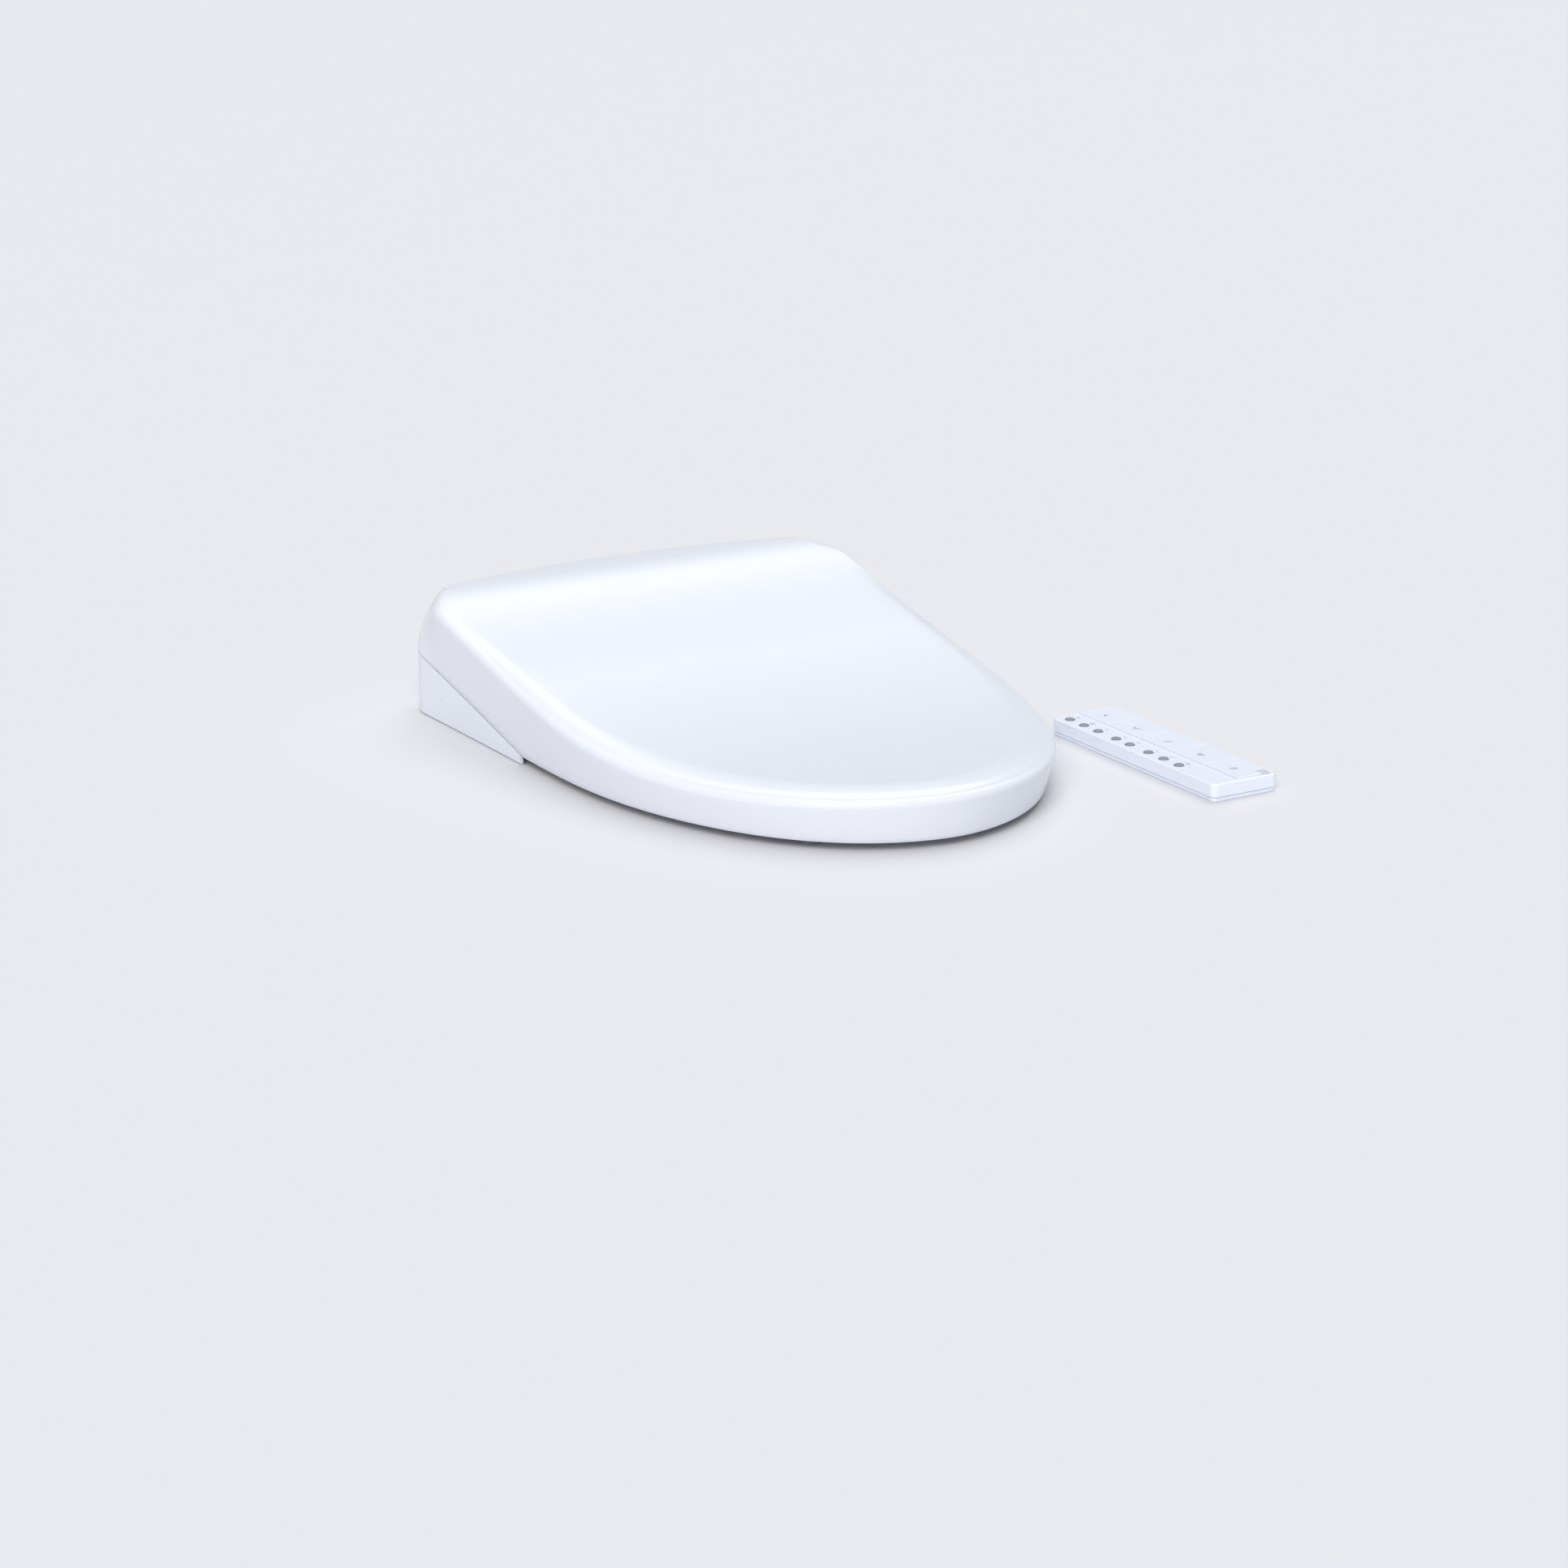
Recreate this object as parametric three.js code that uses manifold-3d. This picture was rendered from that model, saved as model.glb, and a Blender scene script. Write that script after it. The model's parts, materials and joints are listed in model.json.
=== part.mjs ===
// An electric bidet seat with its remote control.
// Millimetres. The seat's front faces -Y, +X is its right-hand side seen from above with the front
// down, and +Z is up. z = 0 is the bowl rim that it rests on. The origin is the midpoint between
// the two mounting bolts, on the underside of the mounting plate.
import * as THREE from "three";
import { ParametricGeometry } from "three/addons/geometries/ParametricGeometry.js";
import { mergeVertices } from "three/addons/utils/BufferGeometryUtils.js";
import Module from "manifold-3d";

const wasm = await Module();
wasm.setup();

// ---- driving dimensions ----
const REAR = 70; // y of the rear edge at its corners
const BOW = 7; // how far the rear edge bows out in the middle
const LENGTH = 540.5; // from the rear corners' line to the nose
const REAR_HALF_WIDTH = 190.1;
const FRONT_HALF_WIDTH = 187.4; // where the nose curve starts
const NOSE_START = 234.4; // distance from the rear to the start of the nose curve
const NOSE_P = 2.413; // exponents of the nose's superellipse
const NOSE_Q = 1.868;
const CORNER_RADIUS = 37.5;
const DRAFT = 6.85; // how far the lid's lower edge and the base lie inside the lid's widest line
const DRAFT_RISES = [28, 80]; // distances from the rear over which the lid's sides take up their draft
const REAR_POINTS = 3; // steps in half of the rear edge, and in the outline's other parts
const CORNER_POINTS = 6;
const SIDE_POINTS = 4;
const NOSE_POINTS = 14;
const WALL = 3; // wall thickness of the lid and the tray
const GAP = 0.3; // running gap between neighbouring pieces

const LID_EDGE = 6.9; // height of the lid's lower edge in front
const PARTING_START = -134; // y where the base's side panel begins
const PARTING_SLOPE = 0.243; // rise of the parting line towards the rear
const PARTING_GAP = 1;
const LID_TOP = 101; // highest point of the lid
const REAR_ROUND = 28; // depth of the rounding at the lid's rear

const HINGE_Y = 40;
const HINGE_Z = 72;
const PIN_RADIUS = 4;
const PIN_HOLE = PIN_RADIUS + GAP;
const BOSS_RADIUS = 8;

const FLOOR_LOW = 6; // the tray's floor
const FLOOR_HIGH = 8.5;
const WALL_LOW = 0.8; // the tray's walls end just above the rim
const TRAY_FRONT = -116;
const CASING_HALF = 150; // half the width of the casing
const CASING_WALL = 2.5;
const CASING_FRONT = -114;
const HUMP_REAR = 8; // y where the casing steps down behind the hump
const DECK_TOP = 33; // height of the casing behind the hump
const DECK_REAR = 59;

const SEAT_INSET = 14; // from the lid's outline to the seat's edge
const SEAT_REAR = -127;
const SEAT_LOW = 14;
const SEAT_TOP = 30;
const SEAT_PLATE_LOW = 10;
const OPENING_REAR = -145;
const OPENING_FRONT = -410;
const OPENING_HALF = 105;
const ARM_INNER = 155; // the seat's arms, beside the casing
const ARM_OUTER = 165;

const NOZZLE_TILT = Math.PI / 6; // the nozzle runs forwards and down
const NOZZLE_TIP = [-112, 8]; // y and z of the nozzle's tip when it is in
const NOZZLE_RADIUS = 6;
const NOZZLE_LENGTH = 108;
const ROLLER_RADIUS = 8;

const REMOTE_LENGTH = 208;
const REMOTE_WIDTH = 60;
const REMOTE_LEFT = -270; // y of the remote's left-hand end
const REMOTE_BOTTOM = 212; // x of the remote's lower edge
const REMOTE_BACK = 4; // thickness of its back cover
const REMOTE_FACE = 14; // height of its face
const KEY_FLOOR = 8; // bottom of the pockets that the keys sit in
const KEY_LOW = 9.2;

// ---- materials ----
const finish = (color, roughness, metalness = 0) => () =>
  new THREE.MeshStandardMaterial({ color, roughness, metalness });
const gloss = finish(0xe9edf6, 0.18);
const panel = finish(0xdfe2ea, 0.28);
const satin = finish(0xdde0e6, 0.45);
const rubber = finish(0x8d9094, 0.85);
const darkPlastic = finish(0x3a3d42, 0.55);
const steel = finish(0xb9bcc0, 0.3, 1);
const board = finish(0x2f6b46, 0.5);
const hosePlastic = finish(0xc9cdd2, 0.5);
const smoked = finish(0x4b4e55, 0.15);
const keyGrey = finish(0x8f949c, 0.5);
const keyWhite = finish(0xe6ecf8, 0.35);

const group = new THREE.Group();

// ---- helpers ----
function solid(geometry) {
  const bare = geometry.clone();
  bare.deleteAttribute("normal");
  bare.deleteAttribute("uv");
  const merged = mergeVertices(bare, 1e-4);
  const vertProperties = new Float32Array(merged.attributes.position.array);
  const corners = merged.index.array;
  const kept = [];
  for (let i = 0; i < corners.length; i += 3) {
    const [a, b, c] = corners.slice(i, i + 3);
    if (a !== b && b !== c && c !== a) kept.push(a, b, c);
  }
  const triVerts = new Uint32Array(kept);
  return new wasm.Manifold(new wasm.Mesh({ numProp: 3, vertProperties, triVerts }));
}

function geometryOf(manifold) {
  const mesh = manifold.getMesh();
  const geometry = new THREE.BufferGeometry();
  geometry.setAttribute("position", new THREE.BufferAttribute(mesh.vertProperties, 3));
  geometry.setIndex(new THREE.BufferAttribute(mesh.triVerts, 1));
  return geometry;
}

function add(name, shape, material) {
  const geometry = shape.isBufferGeometry ? shape : geometryOf(shape);
  const mesh = new THREE.Mesh(geometry, material());
  mesh.name = name;
  group.add(mesh);
}

function box(x0, x1, y0, y1, z0, z1) {
  const geometry = new THREE.BoxGeometry(x1 - x0, y1 - y0, z1 - z0);
  return geometry.translate((x0 + x1) / 2, (y0 + y1) / 2, (z0 + z1) / 2);
}

function shapeOf(points) {
  return new THREE.Shape(points.map(([a, b]) => new THREE.Vector2(a, b)));
}

// A plan outline, or a shape, raised from z0 to z1.
function prism(outline, z0, z1) {
  const shape = outline instanceof THREE.Shape ? outline : shapeOf(outline);
  const geometry = new THREE.ExtrudeGeometry(shape, { depth: z1 - z0, bevelEnabled: false });
  return geometry.translate(0, 0, z0);
}

// A side outline in y and z, drawn out from x0 to x1.
function sidePrism(points, x0, x1) {
  const geometry = prism(points, x0, x1);
  const turn = new THREE.Matrix4().makeBasis(
    new THREE.Vector3(0, 1, 0),
    new THREE.Vector3(0, 0, 1),
    new THREE.Vector3(1, 0, 0),
  );
  return geometry.applyMatrix4(turn);
}

// A round bar between two points.
function rod(from, to, radius, sides = 16) {
  const start = new THREE.Vector3(...from);
  const end = new THREE.Vector3(...to);
  const along = end.clone().sub(start);
  const geometry = new THREE.CylinderGeometry(radius, radius, along.length(), sides);
  const up = new THREE.Vector3(0, 1, 0);
  geometry.applyQuaternion(new THREE.Quaternion().setFromUnitVectors(up, along.normalize()));
  const middle = start.add(end).multiplyScalar(0.5);
  return geometry.translate(middle.x, middle.y, middle.z);
}

function crossBar(side, inner, outer, y, z, radius, sides = 20) {
  return rod([side * inner, y, z], [side * outer, y, z], radius, sides);
}

function sideBox(side, inner, outer, y0, y1, z0, z1) {
  const [x0, x1] = side < 0 ? [-outer, -inner] : [inner, outer];
  return box(x0, x1, y0, y1, z0, z1);
}

function sidePlate(side, inner, outer, points) {
  const [x0, x1] = side < 0 ? [-outer, -inner] : [inner, outer];
  return sidePrism(points, x0, x1);
}

// ---- the outline that the lid and the base share, drawn inwards by inset ----
function plan(inset) {
  const half = [];
  const centre = REAR_HALF_WIDTH - CORNER_RADIUS;
  for (let i = 0; i < REAR_POINTS; i++) {
    const x = (centre * i) / REAR_POINTS;
    half.push([x, REAR + BOW * (1 - (x / centre) ** 2) - inset]);
  }
  const radius = CORNER_RADIUS - inset;
  for (let i = 0; i <= CORNER_POINTS; i++) {
    const turn = (Math.PI / 2) * (1 - i / CORNER_POINTS);
    half.push([centre + radius * Math.cos(turn), REAR - CORNER_RADIUS + radius * Math.sin(turn)]);
  }
  for (let i = 1; i <= SIDE_POINTS; i++) {
    const share = 1 - i / (SIDE_POINTS + 1);
    const x = FRONT_HALF_WIDTH + (REAR_HALF_WIDTH - FRONT_HALF_WIDTH) * share ** 2 - inset;
    half.push([x, REAR - NOSE_START + (NOSE_START - CORNER_RADIUS) * share]);
  }
  const noseLength = LENGTH - inset - NOSE_START;
  for (let i = 0; i < NOSE_POINTS; i++) {
    const u = Math.sin((Math.PI / 2) * (i / NOSE_POINTS)) ** 0.9;
    const x = (FRONT_HALF_WIDTH - inset) * (1 - u ** NOSE_P) ** (1 / NOSE_Q);
    half.push([x, REAR - NOSE_START - u * noseLength]);
  }
  const right = [...half, [0, REAR - LENGTH + inset]];
  const left = half.slice(1).reverse().map(([x, y]) => [-x, y]);
  return [...right, ...left].reverse();
}

const lidCrown = new THREE.SplineCurve(
  [
    [540, 45],
    [380, 43.9],
    [260, 58],
    [150, 81],
    [60, 100.2],
  ].map(([fromRear, z]) => new THREE.Vector2(REAR - fromRear, z)),
);

function crownHeight(y) {
  const points = lidCrown.getPoints(40);
  const next = Math.max(1, points.findIndex((p) => p.x >= y));
  const [a, b] = [points[next - 1], points[next]];
  return a.y + ((b.y - a.y) * (y - a.x)) / (b.x - a.x);
}

function partingHeight(y) {
  return LID_EDGE + PARTING_SLOPE * Math.max(0, y - PARTING_START);
}

// The lid's side outline: its lower edge, the rounding at the rear and the crown, drawn in by inset.
function lidProfile(inset, edgeDrop) {
  const points = [
    [REAR - LENGTH - 10, LID_EDGE - edgeDrop],
    [PARTING_START, LID_EDGE - edgeDrop],
    [REAR + BOW - DRAFT - inset, partingHeight(REAR) - edgeDrop],
  ];
  const low = partingHeight(REAR);
  for (let i = 1; i <= 7; i++) {
    const turn = (Math.PI / 2) * (i / 7);
    points.push([
      REAR + BOW - DRAFT - REAR_ROUND + (REAR_ROUND - inset) * Math.cos(turn),
      low + (LID_TOP - inset - low) * Math.sin(turn),
    ]);
  }
  for (const p of lidCrown.getPoints(16).reverse()) points.push([p.x, p.y - inset]);
  points.push([REAR - LENGTH - 10, 45 - inset]);
  return points;
}

// The room that the lid's rear needs as it turns about the hinge.
function hingeWell() {
  const half = [[35.6, 0], [34.6, 60], [33.2, 100], [31.5, 150], [30.5, 172], [25, 181], [25, 194], [0, 194]];
  const mirrored = half.slice(1).reverse().map(([r, x]) => [r, -x]);
  const profile = [...mirrored, ...half].map(([r, x]) => new THREE.Vector2(r, x));
  const geometry = new THREE.LatheGeometry(profile, 36);
  geometry.rotateZ(-Math.PI / 2);
  return geometry.translate(0, HINGE_Y, HINGE_Z);
}

// ---- mounting plate and its bolts ----
const PLATE = { halfX: 100, y0: -30, y1: 32, top: 5 };
const BOLT = { x: 70, shank: 4.8, head: 12, headLow: 2.8, headTop: 4.9 };
const BOLT_HOLE = { radius: 5.2, recess: 12.6, recessLow: 2.4 };

function mountingPlate() {
  let plate = solid(box(-PLATE.halfX, PLATE.halfX, PLATE.y0, PLATE.y1, 0, PLATE.top));
  const above = PLATE.top + 1;
  for (const x of [-BOLT.x, BOLT.x]) {
    plate = plate.subtract(solid(rod([x, 0, -1], [x, 0, above], BOLT_HOLE.radius)));
    plate = plate.subtract(solid(rod([x, 0, BOLT_HOLE.recessLow], [x, 0, above], BOLT_HOLE.recess, 24)));
  }
  add("mounting_plate", plate, darkPlastic);
  for (const [side, x] of [["left", -BOLT.x], ["right", BOLT.x]]) {
    const shank = solid(rod([x, 0, 0.1], [x, 0, BOLT.headLow + 0.2], BOLT.shank));
    const head = solid(rod([x, 0, BOLT.headLow], [x, 0, BOLT.headTop], BOLT.head, 24));
    add(`plate_bolt_${side}`, shank.add(head), steel);
  }
}

// ---- base tray ----
const RELEASE = { y0: 4, y1: 26, z0: 17, z1: 29, inner: 168.5, flange: 176, outer: 184.2 };
const INLET = { x: -110, z: 20, radius: 9.5 }; // the holes in the tray's rear wall
const GLAND = { x: 112, z: 19, radius: 6.5 };
const DRAIN = { x: -124, y: -62, radius: 6, head: 9 };
const NOZZLE_SLOT = 9.5; // half the width of the slot that the nozzle leaves through
const RAIL = { inner: 102, outer: 105, y0: -60, y1: 55 }; // the ribs that run along the plate's sides
const REAR_NOTCH = { half: 112, y: 45 }; // the tray's open underside behind the plate
const FOOT_RADIUS = 9;
const FEET = {
  rear_left: [-150, 40],
  rear_right: [150, 40],
  front_left: [-150, -96],
  front_right: [150, -96],
};

function baseTray() {
  const outer = solid(prism(plan(DRAFT), WALL_LOW, 70));
  const inner = solid(prism(plan(DRAFT + WALL), -1, 71));
  const panelOutline = [
    [PARTING_START, 0],
    [REAR + BOW + 1, 0],
    [REAR + BOW + 1, partingHeight(REAR) - PARTING_GAP],
    [PARTING_START, LID_EDGE - PARTING_GAP],
  ];
  let tray = outer.subtract(inner).intersect(solid(sidePrism(panelOutline, -195, 195)));
  const floorCut = solid(box(-200, 200, TRAY_FRONT, 90, FLOOR_LOW, FLOOR_HIGH));
  tray = tray.add(solid(prism(plan(DRAFT + WALL / 2), FLOOR_LOW - 1, FLOOR_HIGH + 1)).intersect(floorCut));
  for (const side of [-1, 1]) {
    tray = tray.add(solid(sideBox(side, RAIL.inner, RAIL.outer, RAIL.y0, RAIL.y1, 1, FLOOR_LOW + 0.5)));
  }
  tray = tray.subtract(solid(box(-REAR_NOTCH.half, REAR_NOTCH.half, REAR_NOTCH.y, 90, -1, FLOOR_LOW)));
  tray = tray.subtract(solid(box(-NOZZLE_SLOT, NOZZLE_SLOT, -130, -88, -1, 12)));
  tray = tray.subtract(solid(rod([INLET.x, 50, INLET.z], [INLET.x, 85, INLET.z], INLET.radius, 20)));
  tray = tray.subtract(solid(rod([GLAND.x, 50, GLAND.z], [GLAND.x, 85, GLAND.z], GLAND.radius, 20)));
  tray = tray.subtract(solid(rod([DRAIN.x, DRAIN.y, -1], [DRAIN.x, DRAIN.y, 12], DRAIN.radius + GAP)));
  tray = tray.subtract(solid(box(RELEASE.flange, 195, RELEASE.y0, RELEASE.y1, RELEASE.z0, RELEASE.z1)));
  add("base_tray", tray.subtract(solid(hingeWell())), panel);
}

function releaseButton() {
  const { y0, y1, z0, z1, inner, flange, outer } = RELEASE;
  const stem = solid(box(inner, outer, y0 + 0.5, y1 - 0.5, z0 + 0.5, z1 - 0.5));
  add("release_button", stem.add(solid(box(inner, flange, y0 - 2, y1 + 2, z0 - 2, z1 + 2))), satin);
}

function feetAndDrain() {
  for (const [place, [x, y]] of Object.entries(FEET)) {
    add(`foot_${place}`, rod([x, y, 0], [x, y, FLOOR_LOW - GAP], FOOT_RADIUS, 20), rubber);
  }
  const plug = solid(rod([DRAIN.x, DRAIN.y, 3], [DRAIN.x, DRAIN.y, 12], DRAIN.radius));
  const head = solid(rod([DRAIN.x, DRAIN.y, 2], [DRAIN.x, DRAIN.y, FLOOR_LOW - GAP], DRAIN.head, 20));
  add("drain_plug", plug.add(head), satin);
}

// ---- top casing: the hump over the works, the deck behind it and the hinge knuckles ----
const OUTLET = { x0: 34, x1: 60, z0: 16, z1: 30 };
const WINDOW = { x0: -72, x1: -50, z0: 32, z1: 42 };
const KNUCKLE = [118, 138];
const PIN_INNER = 92;
const DAMPER_RADIUS = 10;
const HUMP_DROP = 9; // from the lid's crown to the hump

function casingProfile(inset, low, rear) {
  const clearance = HUMP_DROP + inset;
  const hump = [];
  for (let y = 0; y >= -96; y -= 16) hump.push([y, crownHeight(y) - clearance]);
  return [
    [CASING_FRONT + inset, low],
    [rear, low],
    [rear, DECK_TOP - inset],
    [HUMP_REAR - inset, DECK_TOP - inset],
    [HUMP_REAR - inset, crownHeight(0) - clearance - 5],
    ...hump,
    [CASING_FRONT + inset + 3, 56 - inset],
    [CASING_FRONT + inset, 50 - inset],
  ];
}

function topCasing() {
  const low = FLOOR_HIGH + GAP;
  let casing = solid(sidePrism(casingProfile(0, low, DECK_REAR), -CASING_HALF, CASING_HALF));
  const hollowHalf = CASING_HALF - CASING_WALL;
  const hollow = casingProfile(CASING_WALL, low - 2, DECK_REAR + 5);
  casing = casing.subtract(solid(sidePrism(hollow, -hollowHalf, hollowHalf)));
  casing = casing.subtract(solid(box(-NOZZLE_SLOT, NOZZLE_SLOT, -130, -100, 0, 22)));
  casing = casing.subtract(solid(box(OUTLET.x0, OUTLET.x1, -130, -108, OUTLET.z0, OUTLET.z1)));
  casing = casing.subtract(solid(box(WINDOW.x0, WINDOW.x1, -130, -108, WINDOW.z0, WINDOW.z1)));
  const knuckle = [
    [HUMP_REAR - 1, 54],
    [HINGE_Y, HINGE_Z - BOSS_RADIUS],
    [HINGE_Y, HINGE_Z + BOSS_RADIUS],
    [HUMP_REAR - 1, 80],
  ];
  for (const side of [-1, 1]) {
    const [inner, outer] = KNUCKLE;
    casing = casing.add(solid(sidePlate(side, inner, outer, knuckle)));
    casing = casing.add(solid(crossBar(side, inner, outer, HINGE_Y, HINGE_Z, BOSS_RADIUS)));
    const bore = crossBar(side, inner - 1, outer + 1, HINGE_Y, HINGE_Z, PIN_HOLE);
    casing = casing.subtract(solid(bore));
  }
  add("top_casing", casing, gloss);
  const pane = box(
    WINDOW.x0 + GAP, WINDOW.x1 - GAP, CASING_FRONT + GAP, CASING_FRONT + 2.3,
    WINDOW.z0 + GAP, WINDOW.z1 - GAP,
  );
  add("sensor_window", pane, smoked);
}

function hingePins() {
  for (const [name, damper, side] of [["left", "seat_damper", -1], ["right", "lid_damper", 1]]) {
    const pin = crossBar(side, PIN_INNER, ARM_OUTER + 3, HINGE_Y, HINGE_Z, PIN_RADIUS);
    add(`hinge_pin_${name}`, pin, steel);
    const barrel = solid(crossBar(side, PIN_INNER, KNUCKLE[0] - GAP, HINGE_Y, HINGE_Z, DAMPER_RADIUS));
    const bore = solid(crossBar(side, PIN_INNER - 2, KNUCKLE[0] + 1, HINGE_Y, HINGE_Z, PIN_HOLE));
    add(damper, barrel.subtract(bore), darkPlastic);
  }
}

// ---- the works under the casing ----
const HEATER = { x0: -140, x1: -74, y0: -98, y1: -14, z0: 12, z1: 52 };
const HEATER_CAP = { x: -107, y: -56, radius: 14, top: 60 };
const PUMP = { x0: -68, x1: -36, y: -62, z: 26, radius: 14 };
const PUMP_FOOT = { x0: -64, x1: -44, y0: -76, y1: -48, z0: 9, z1: 20 };
const VALVE = { x0: -126, x1: -94, y0: 18, y1: 46, z0: 10, z1: 29, outlet: 6 };
const FITTING = { y0: 46.3, y1: 68, radius: 8.5, bore: 5 };
const HOSE_RADIUS = 4;
const HOSE_SIDES = 10;
const HOSE_ROUTE = [
  [-110, 13.4, 20],
  [-110, 10, 20],
  [-108.5, -1, 24],
  [-107, -10, 28],
  [-107, -13.2, 28],
];
const SUPPLY = { x0: 78, x1: 140, y0: -96, y1: -24, z0: 10, z1: 44 };
const BOARD = { low: 50, top: 52, chipTop: 57, chip: [10, 12] };
const CHIPS = [[88, -84], [104, -84], [120, -60], [96, -44]];
const BUSH = { y0: 54, y1: 68, radius: 6.1, flangeY0: 52, flangeY1: 59, flange: 8.5, bore: 3.5 };

function waterParts() {
  const tank = solid(box(HEATER.x0, HEATER.x1, HEATER.y0, HEATER.y1, HEATER.z0, HEATER.z1));
  const { x, y, radius, top } = HEATER_CAP;
  add("water_heater", tank.add(solid(rod([x, y, HEATER.z1 - 2], [x, y, top], radius, 20))), hosePlastic);
  const pumpBody = solid(rod([PUMP.x0, PUMP.y, PUMP.z], [PUMP.x1, PUMP.y, PUMP.z], PUMP.radius, 20));
  const pumpFoot = box(
    PUMP_FOOT.x0, PUMP_FOOT.x1, PUMP_FOOT.y0, PUMP_FOOT.y1, PUMP_FOOT.z0, PUMP_FOOT.z1,
  );
  add("water_pump", pumpBody.add(solid(pumpFoot)), darkPlastic);
  const valve = solid(box(VALVE.x0, VALVE.x1, VALVE.y0, VALVE.y1, VALVE.z0, VALVE.z1));
  const outlet = rod([INLET.x, VALVE.y0 - 4, INLET.z], [INLET.x, VALVE.y0 + 2, INLET.z], VALVE.outlet);
  add("inlet_valve", valve.add(solid(outlet)), satin);
  const { x: middle, z } = INLET;
  const nipple = solid(rod([middle, FITTING.y0, z], [middle, FITTING.y1, z], FITTING.radius, 20));
  const waterway = rod([middle, FITTING.y0 + 4, z], [middle, FITTING.y1 + 1, z], FITTING.bore);
  add("inlet_fitting", nipple.subtract(solid(waterway)), steel);
  const route = new THREE.CatmullRomCurve3(HOSE_ROUTE.map((p) => new THREE.Vector3(...p)));
  const section = shapeOf(
    Array.from({ length: HOSE_SIDES }, (_, i) => {
      const turn = (2 * Math.PI * i) / HOSE_SIDES;
      return [HOSE_RADIUS * Math.cos(turn), HOSE_RADIUS * Math.sin(turn)];
    }),
  );
  const hose = new THREE.ExtrudeGeometry(section, { steps: 10, extrudePath: route });
  add("inlet_hose", hose, hosePlastic);
}

function powerParts() {
  const { x0, x1, y0, y1 } = SUPPLY;
  add("power_supply", box(x0, x1, y0, y1, SUPPLY.z0, SUPPLY.z1), darkPlastic);
  let pcb = solid(box(x0, x1, y0, y1, BOARD.low, BOARD.top));
  for (const [x, y] of CHIPS) {
    pcb = pcb.add(solid(box(x, x + BOARD.chip[0], y, y + BOARD.chip[1], BOARD.top - 0.5, BOARD.chipTop)));
  }
  add("control_board", pcb, board);
  const { x: middle, z } = GLAND;
  const along = (from, to, radius, sides) => solid(rod([middle, from, z], [middle, to, z], radius, sides));
  const bush = along(BUSH.y0, BUSH.y1, BUSH.radius, 20);
  const flange = along(BUSH.flangeY0, BUSH.flangeY1, BUSH.flange, 20);
  const bore = along(BUSH.flangeY0 - 2, BUSH.y1 + 2, BUSH.bore, 16);
  add("power_gland", bush.add(flange).subtract(bore), rubber);
}

const FAN = { x0: 32, x1: 62, y: -46, z: 36, radius: 26, intake: 12 };
const WHEEL = { radius: 20, hub: 6, blades: 10, bladeRoot: 11, bladeHalf: 0.8 };

function dryerParts() {
  const outletZ = (OUTLET.z0 + OUTLET.z1) / 2;
  let housing = solid(rod([FAN.x0, FAN.y, FAN.z], [FAN.x1, FAN.y, FAN.z], FAN.radius, 28));
  const [ductX0, ductX1] = [OUTLET.x0 + 2, OUTLET.x1 - 2];
  housing = housing.add(solid(box(ductX0, ductX1, -78, FAN.y, outletZ - 5, outletZ + 5)));
  const chamber = rod([FAN.x0 + 2, FAN.y, FAN.z], [FAN.x1 - 2, FAN.y, FAN.z], FAN.radius - 2.5, 28);
  housing = housing.subtract(solid(chamber));
  const intake = rod([FAN.x1 - 4, FAN.y, FAN.z], [FAN.x1 + 8, FAN.y, FAN.z], FAN.intake, 20);
  housing = housing.subtract(solid(intake));
  const throat = box(ductX0 + 2, ductX1 - 2, -80, FAN.y, outletZ - 3, outletZ + 3);
  housing = housing.subtract(solid(throat));
  add("blower_housing", housing, darkPlastic);

  let wheel = solid(rod([FAN.x0 + 4, FAN.y, FAN.z], [FAN.x0 + 6, FAN.y, FAN.z], WHEEL.radius, 24));
  wheel = wheel.add(solid(rod([FAN.x0 + 4, FAN.y, FAN.z], [FAN.x1 - 6, FAN.y, FAN.z], WHEEL.hub)));
  for (let i = 0; i < WHEEL.blades; i++) {
    const blade = box(
      FAN.x0 + 5, FAN.x1 - 6, -WHEEL.bladeHalf, WHEEL.bladeHalf, WHEEL.bladeRoot, WHEEL.radius,
    );
    blade.rotateX((2 * Math.PI * i) / WHEEL.blades).translate(0, FAN.y, FAN.z);
    wheel = wheel.add(solid(blade));
  }
  add("blower_impeller", wheel, satin);

  const tube = solid(box(OUTLET.x0, OUTLET.x1, -110.5, -79, OUTLET.z0, OUTLET.z1));
  const passage = box(OUTLET.x0 + 2, OUTLET.x1 - 2, -120, -70, OUTLET.z0 + 2, OUTLET.z1 - 2);
  add("dryer_duct", tube.subtract(solid(passage)), satin);
}

// ---- nozzle: a wand that a motor drives forwards and down out of the unit ----
const [TIP_Y, TIP_Z] = NOZZLE_TIP;
const BACK_Y = Math.cos(NOZZLE_TILT);
const BACK_Z = Math.sin(NOZZLE_TILT);

// The point that lies back along the nozzle from its tip, and up from its axis.
function nozzlePoint(x, back, up) {
  return [x, TIP_Y + back * BACK_Y - up * BACK_Z, TIP_Z + back * BACK_Z + up * BACK_Y];
}

// A block that lies along the nozzle.
function nozzleBlock(x0, x1, back0, back1, up0, up1) {
  const geometry = box(x0, x1, back0, back1, up0, up1);
  return geometry.rotateX(NOZZLE_TILT).translate(0, TIP_Y, TIP_Z);
}

const GUIDE = { half: 11, cheek: 8, start: 28, end: NOZZLE_LENGTH + 6, low: -9, cheekTop: 3 };
const GUIDE_LEGS = [[-78, -66, 19], [-44, -34, 38]]; // y, y and top of the legs that stand on the floor
const ROLLER_ALONG = 62; // distance of the roller from the nozzle's tip
const ROLLER_HALF = 5;
const MOTOR = { x0: -30, x1: -5.5, radius: 10 };

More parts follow.
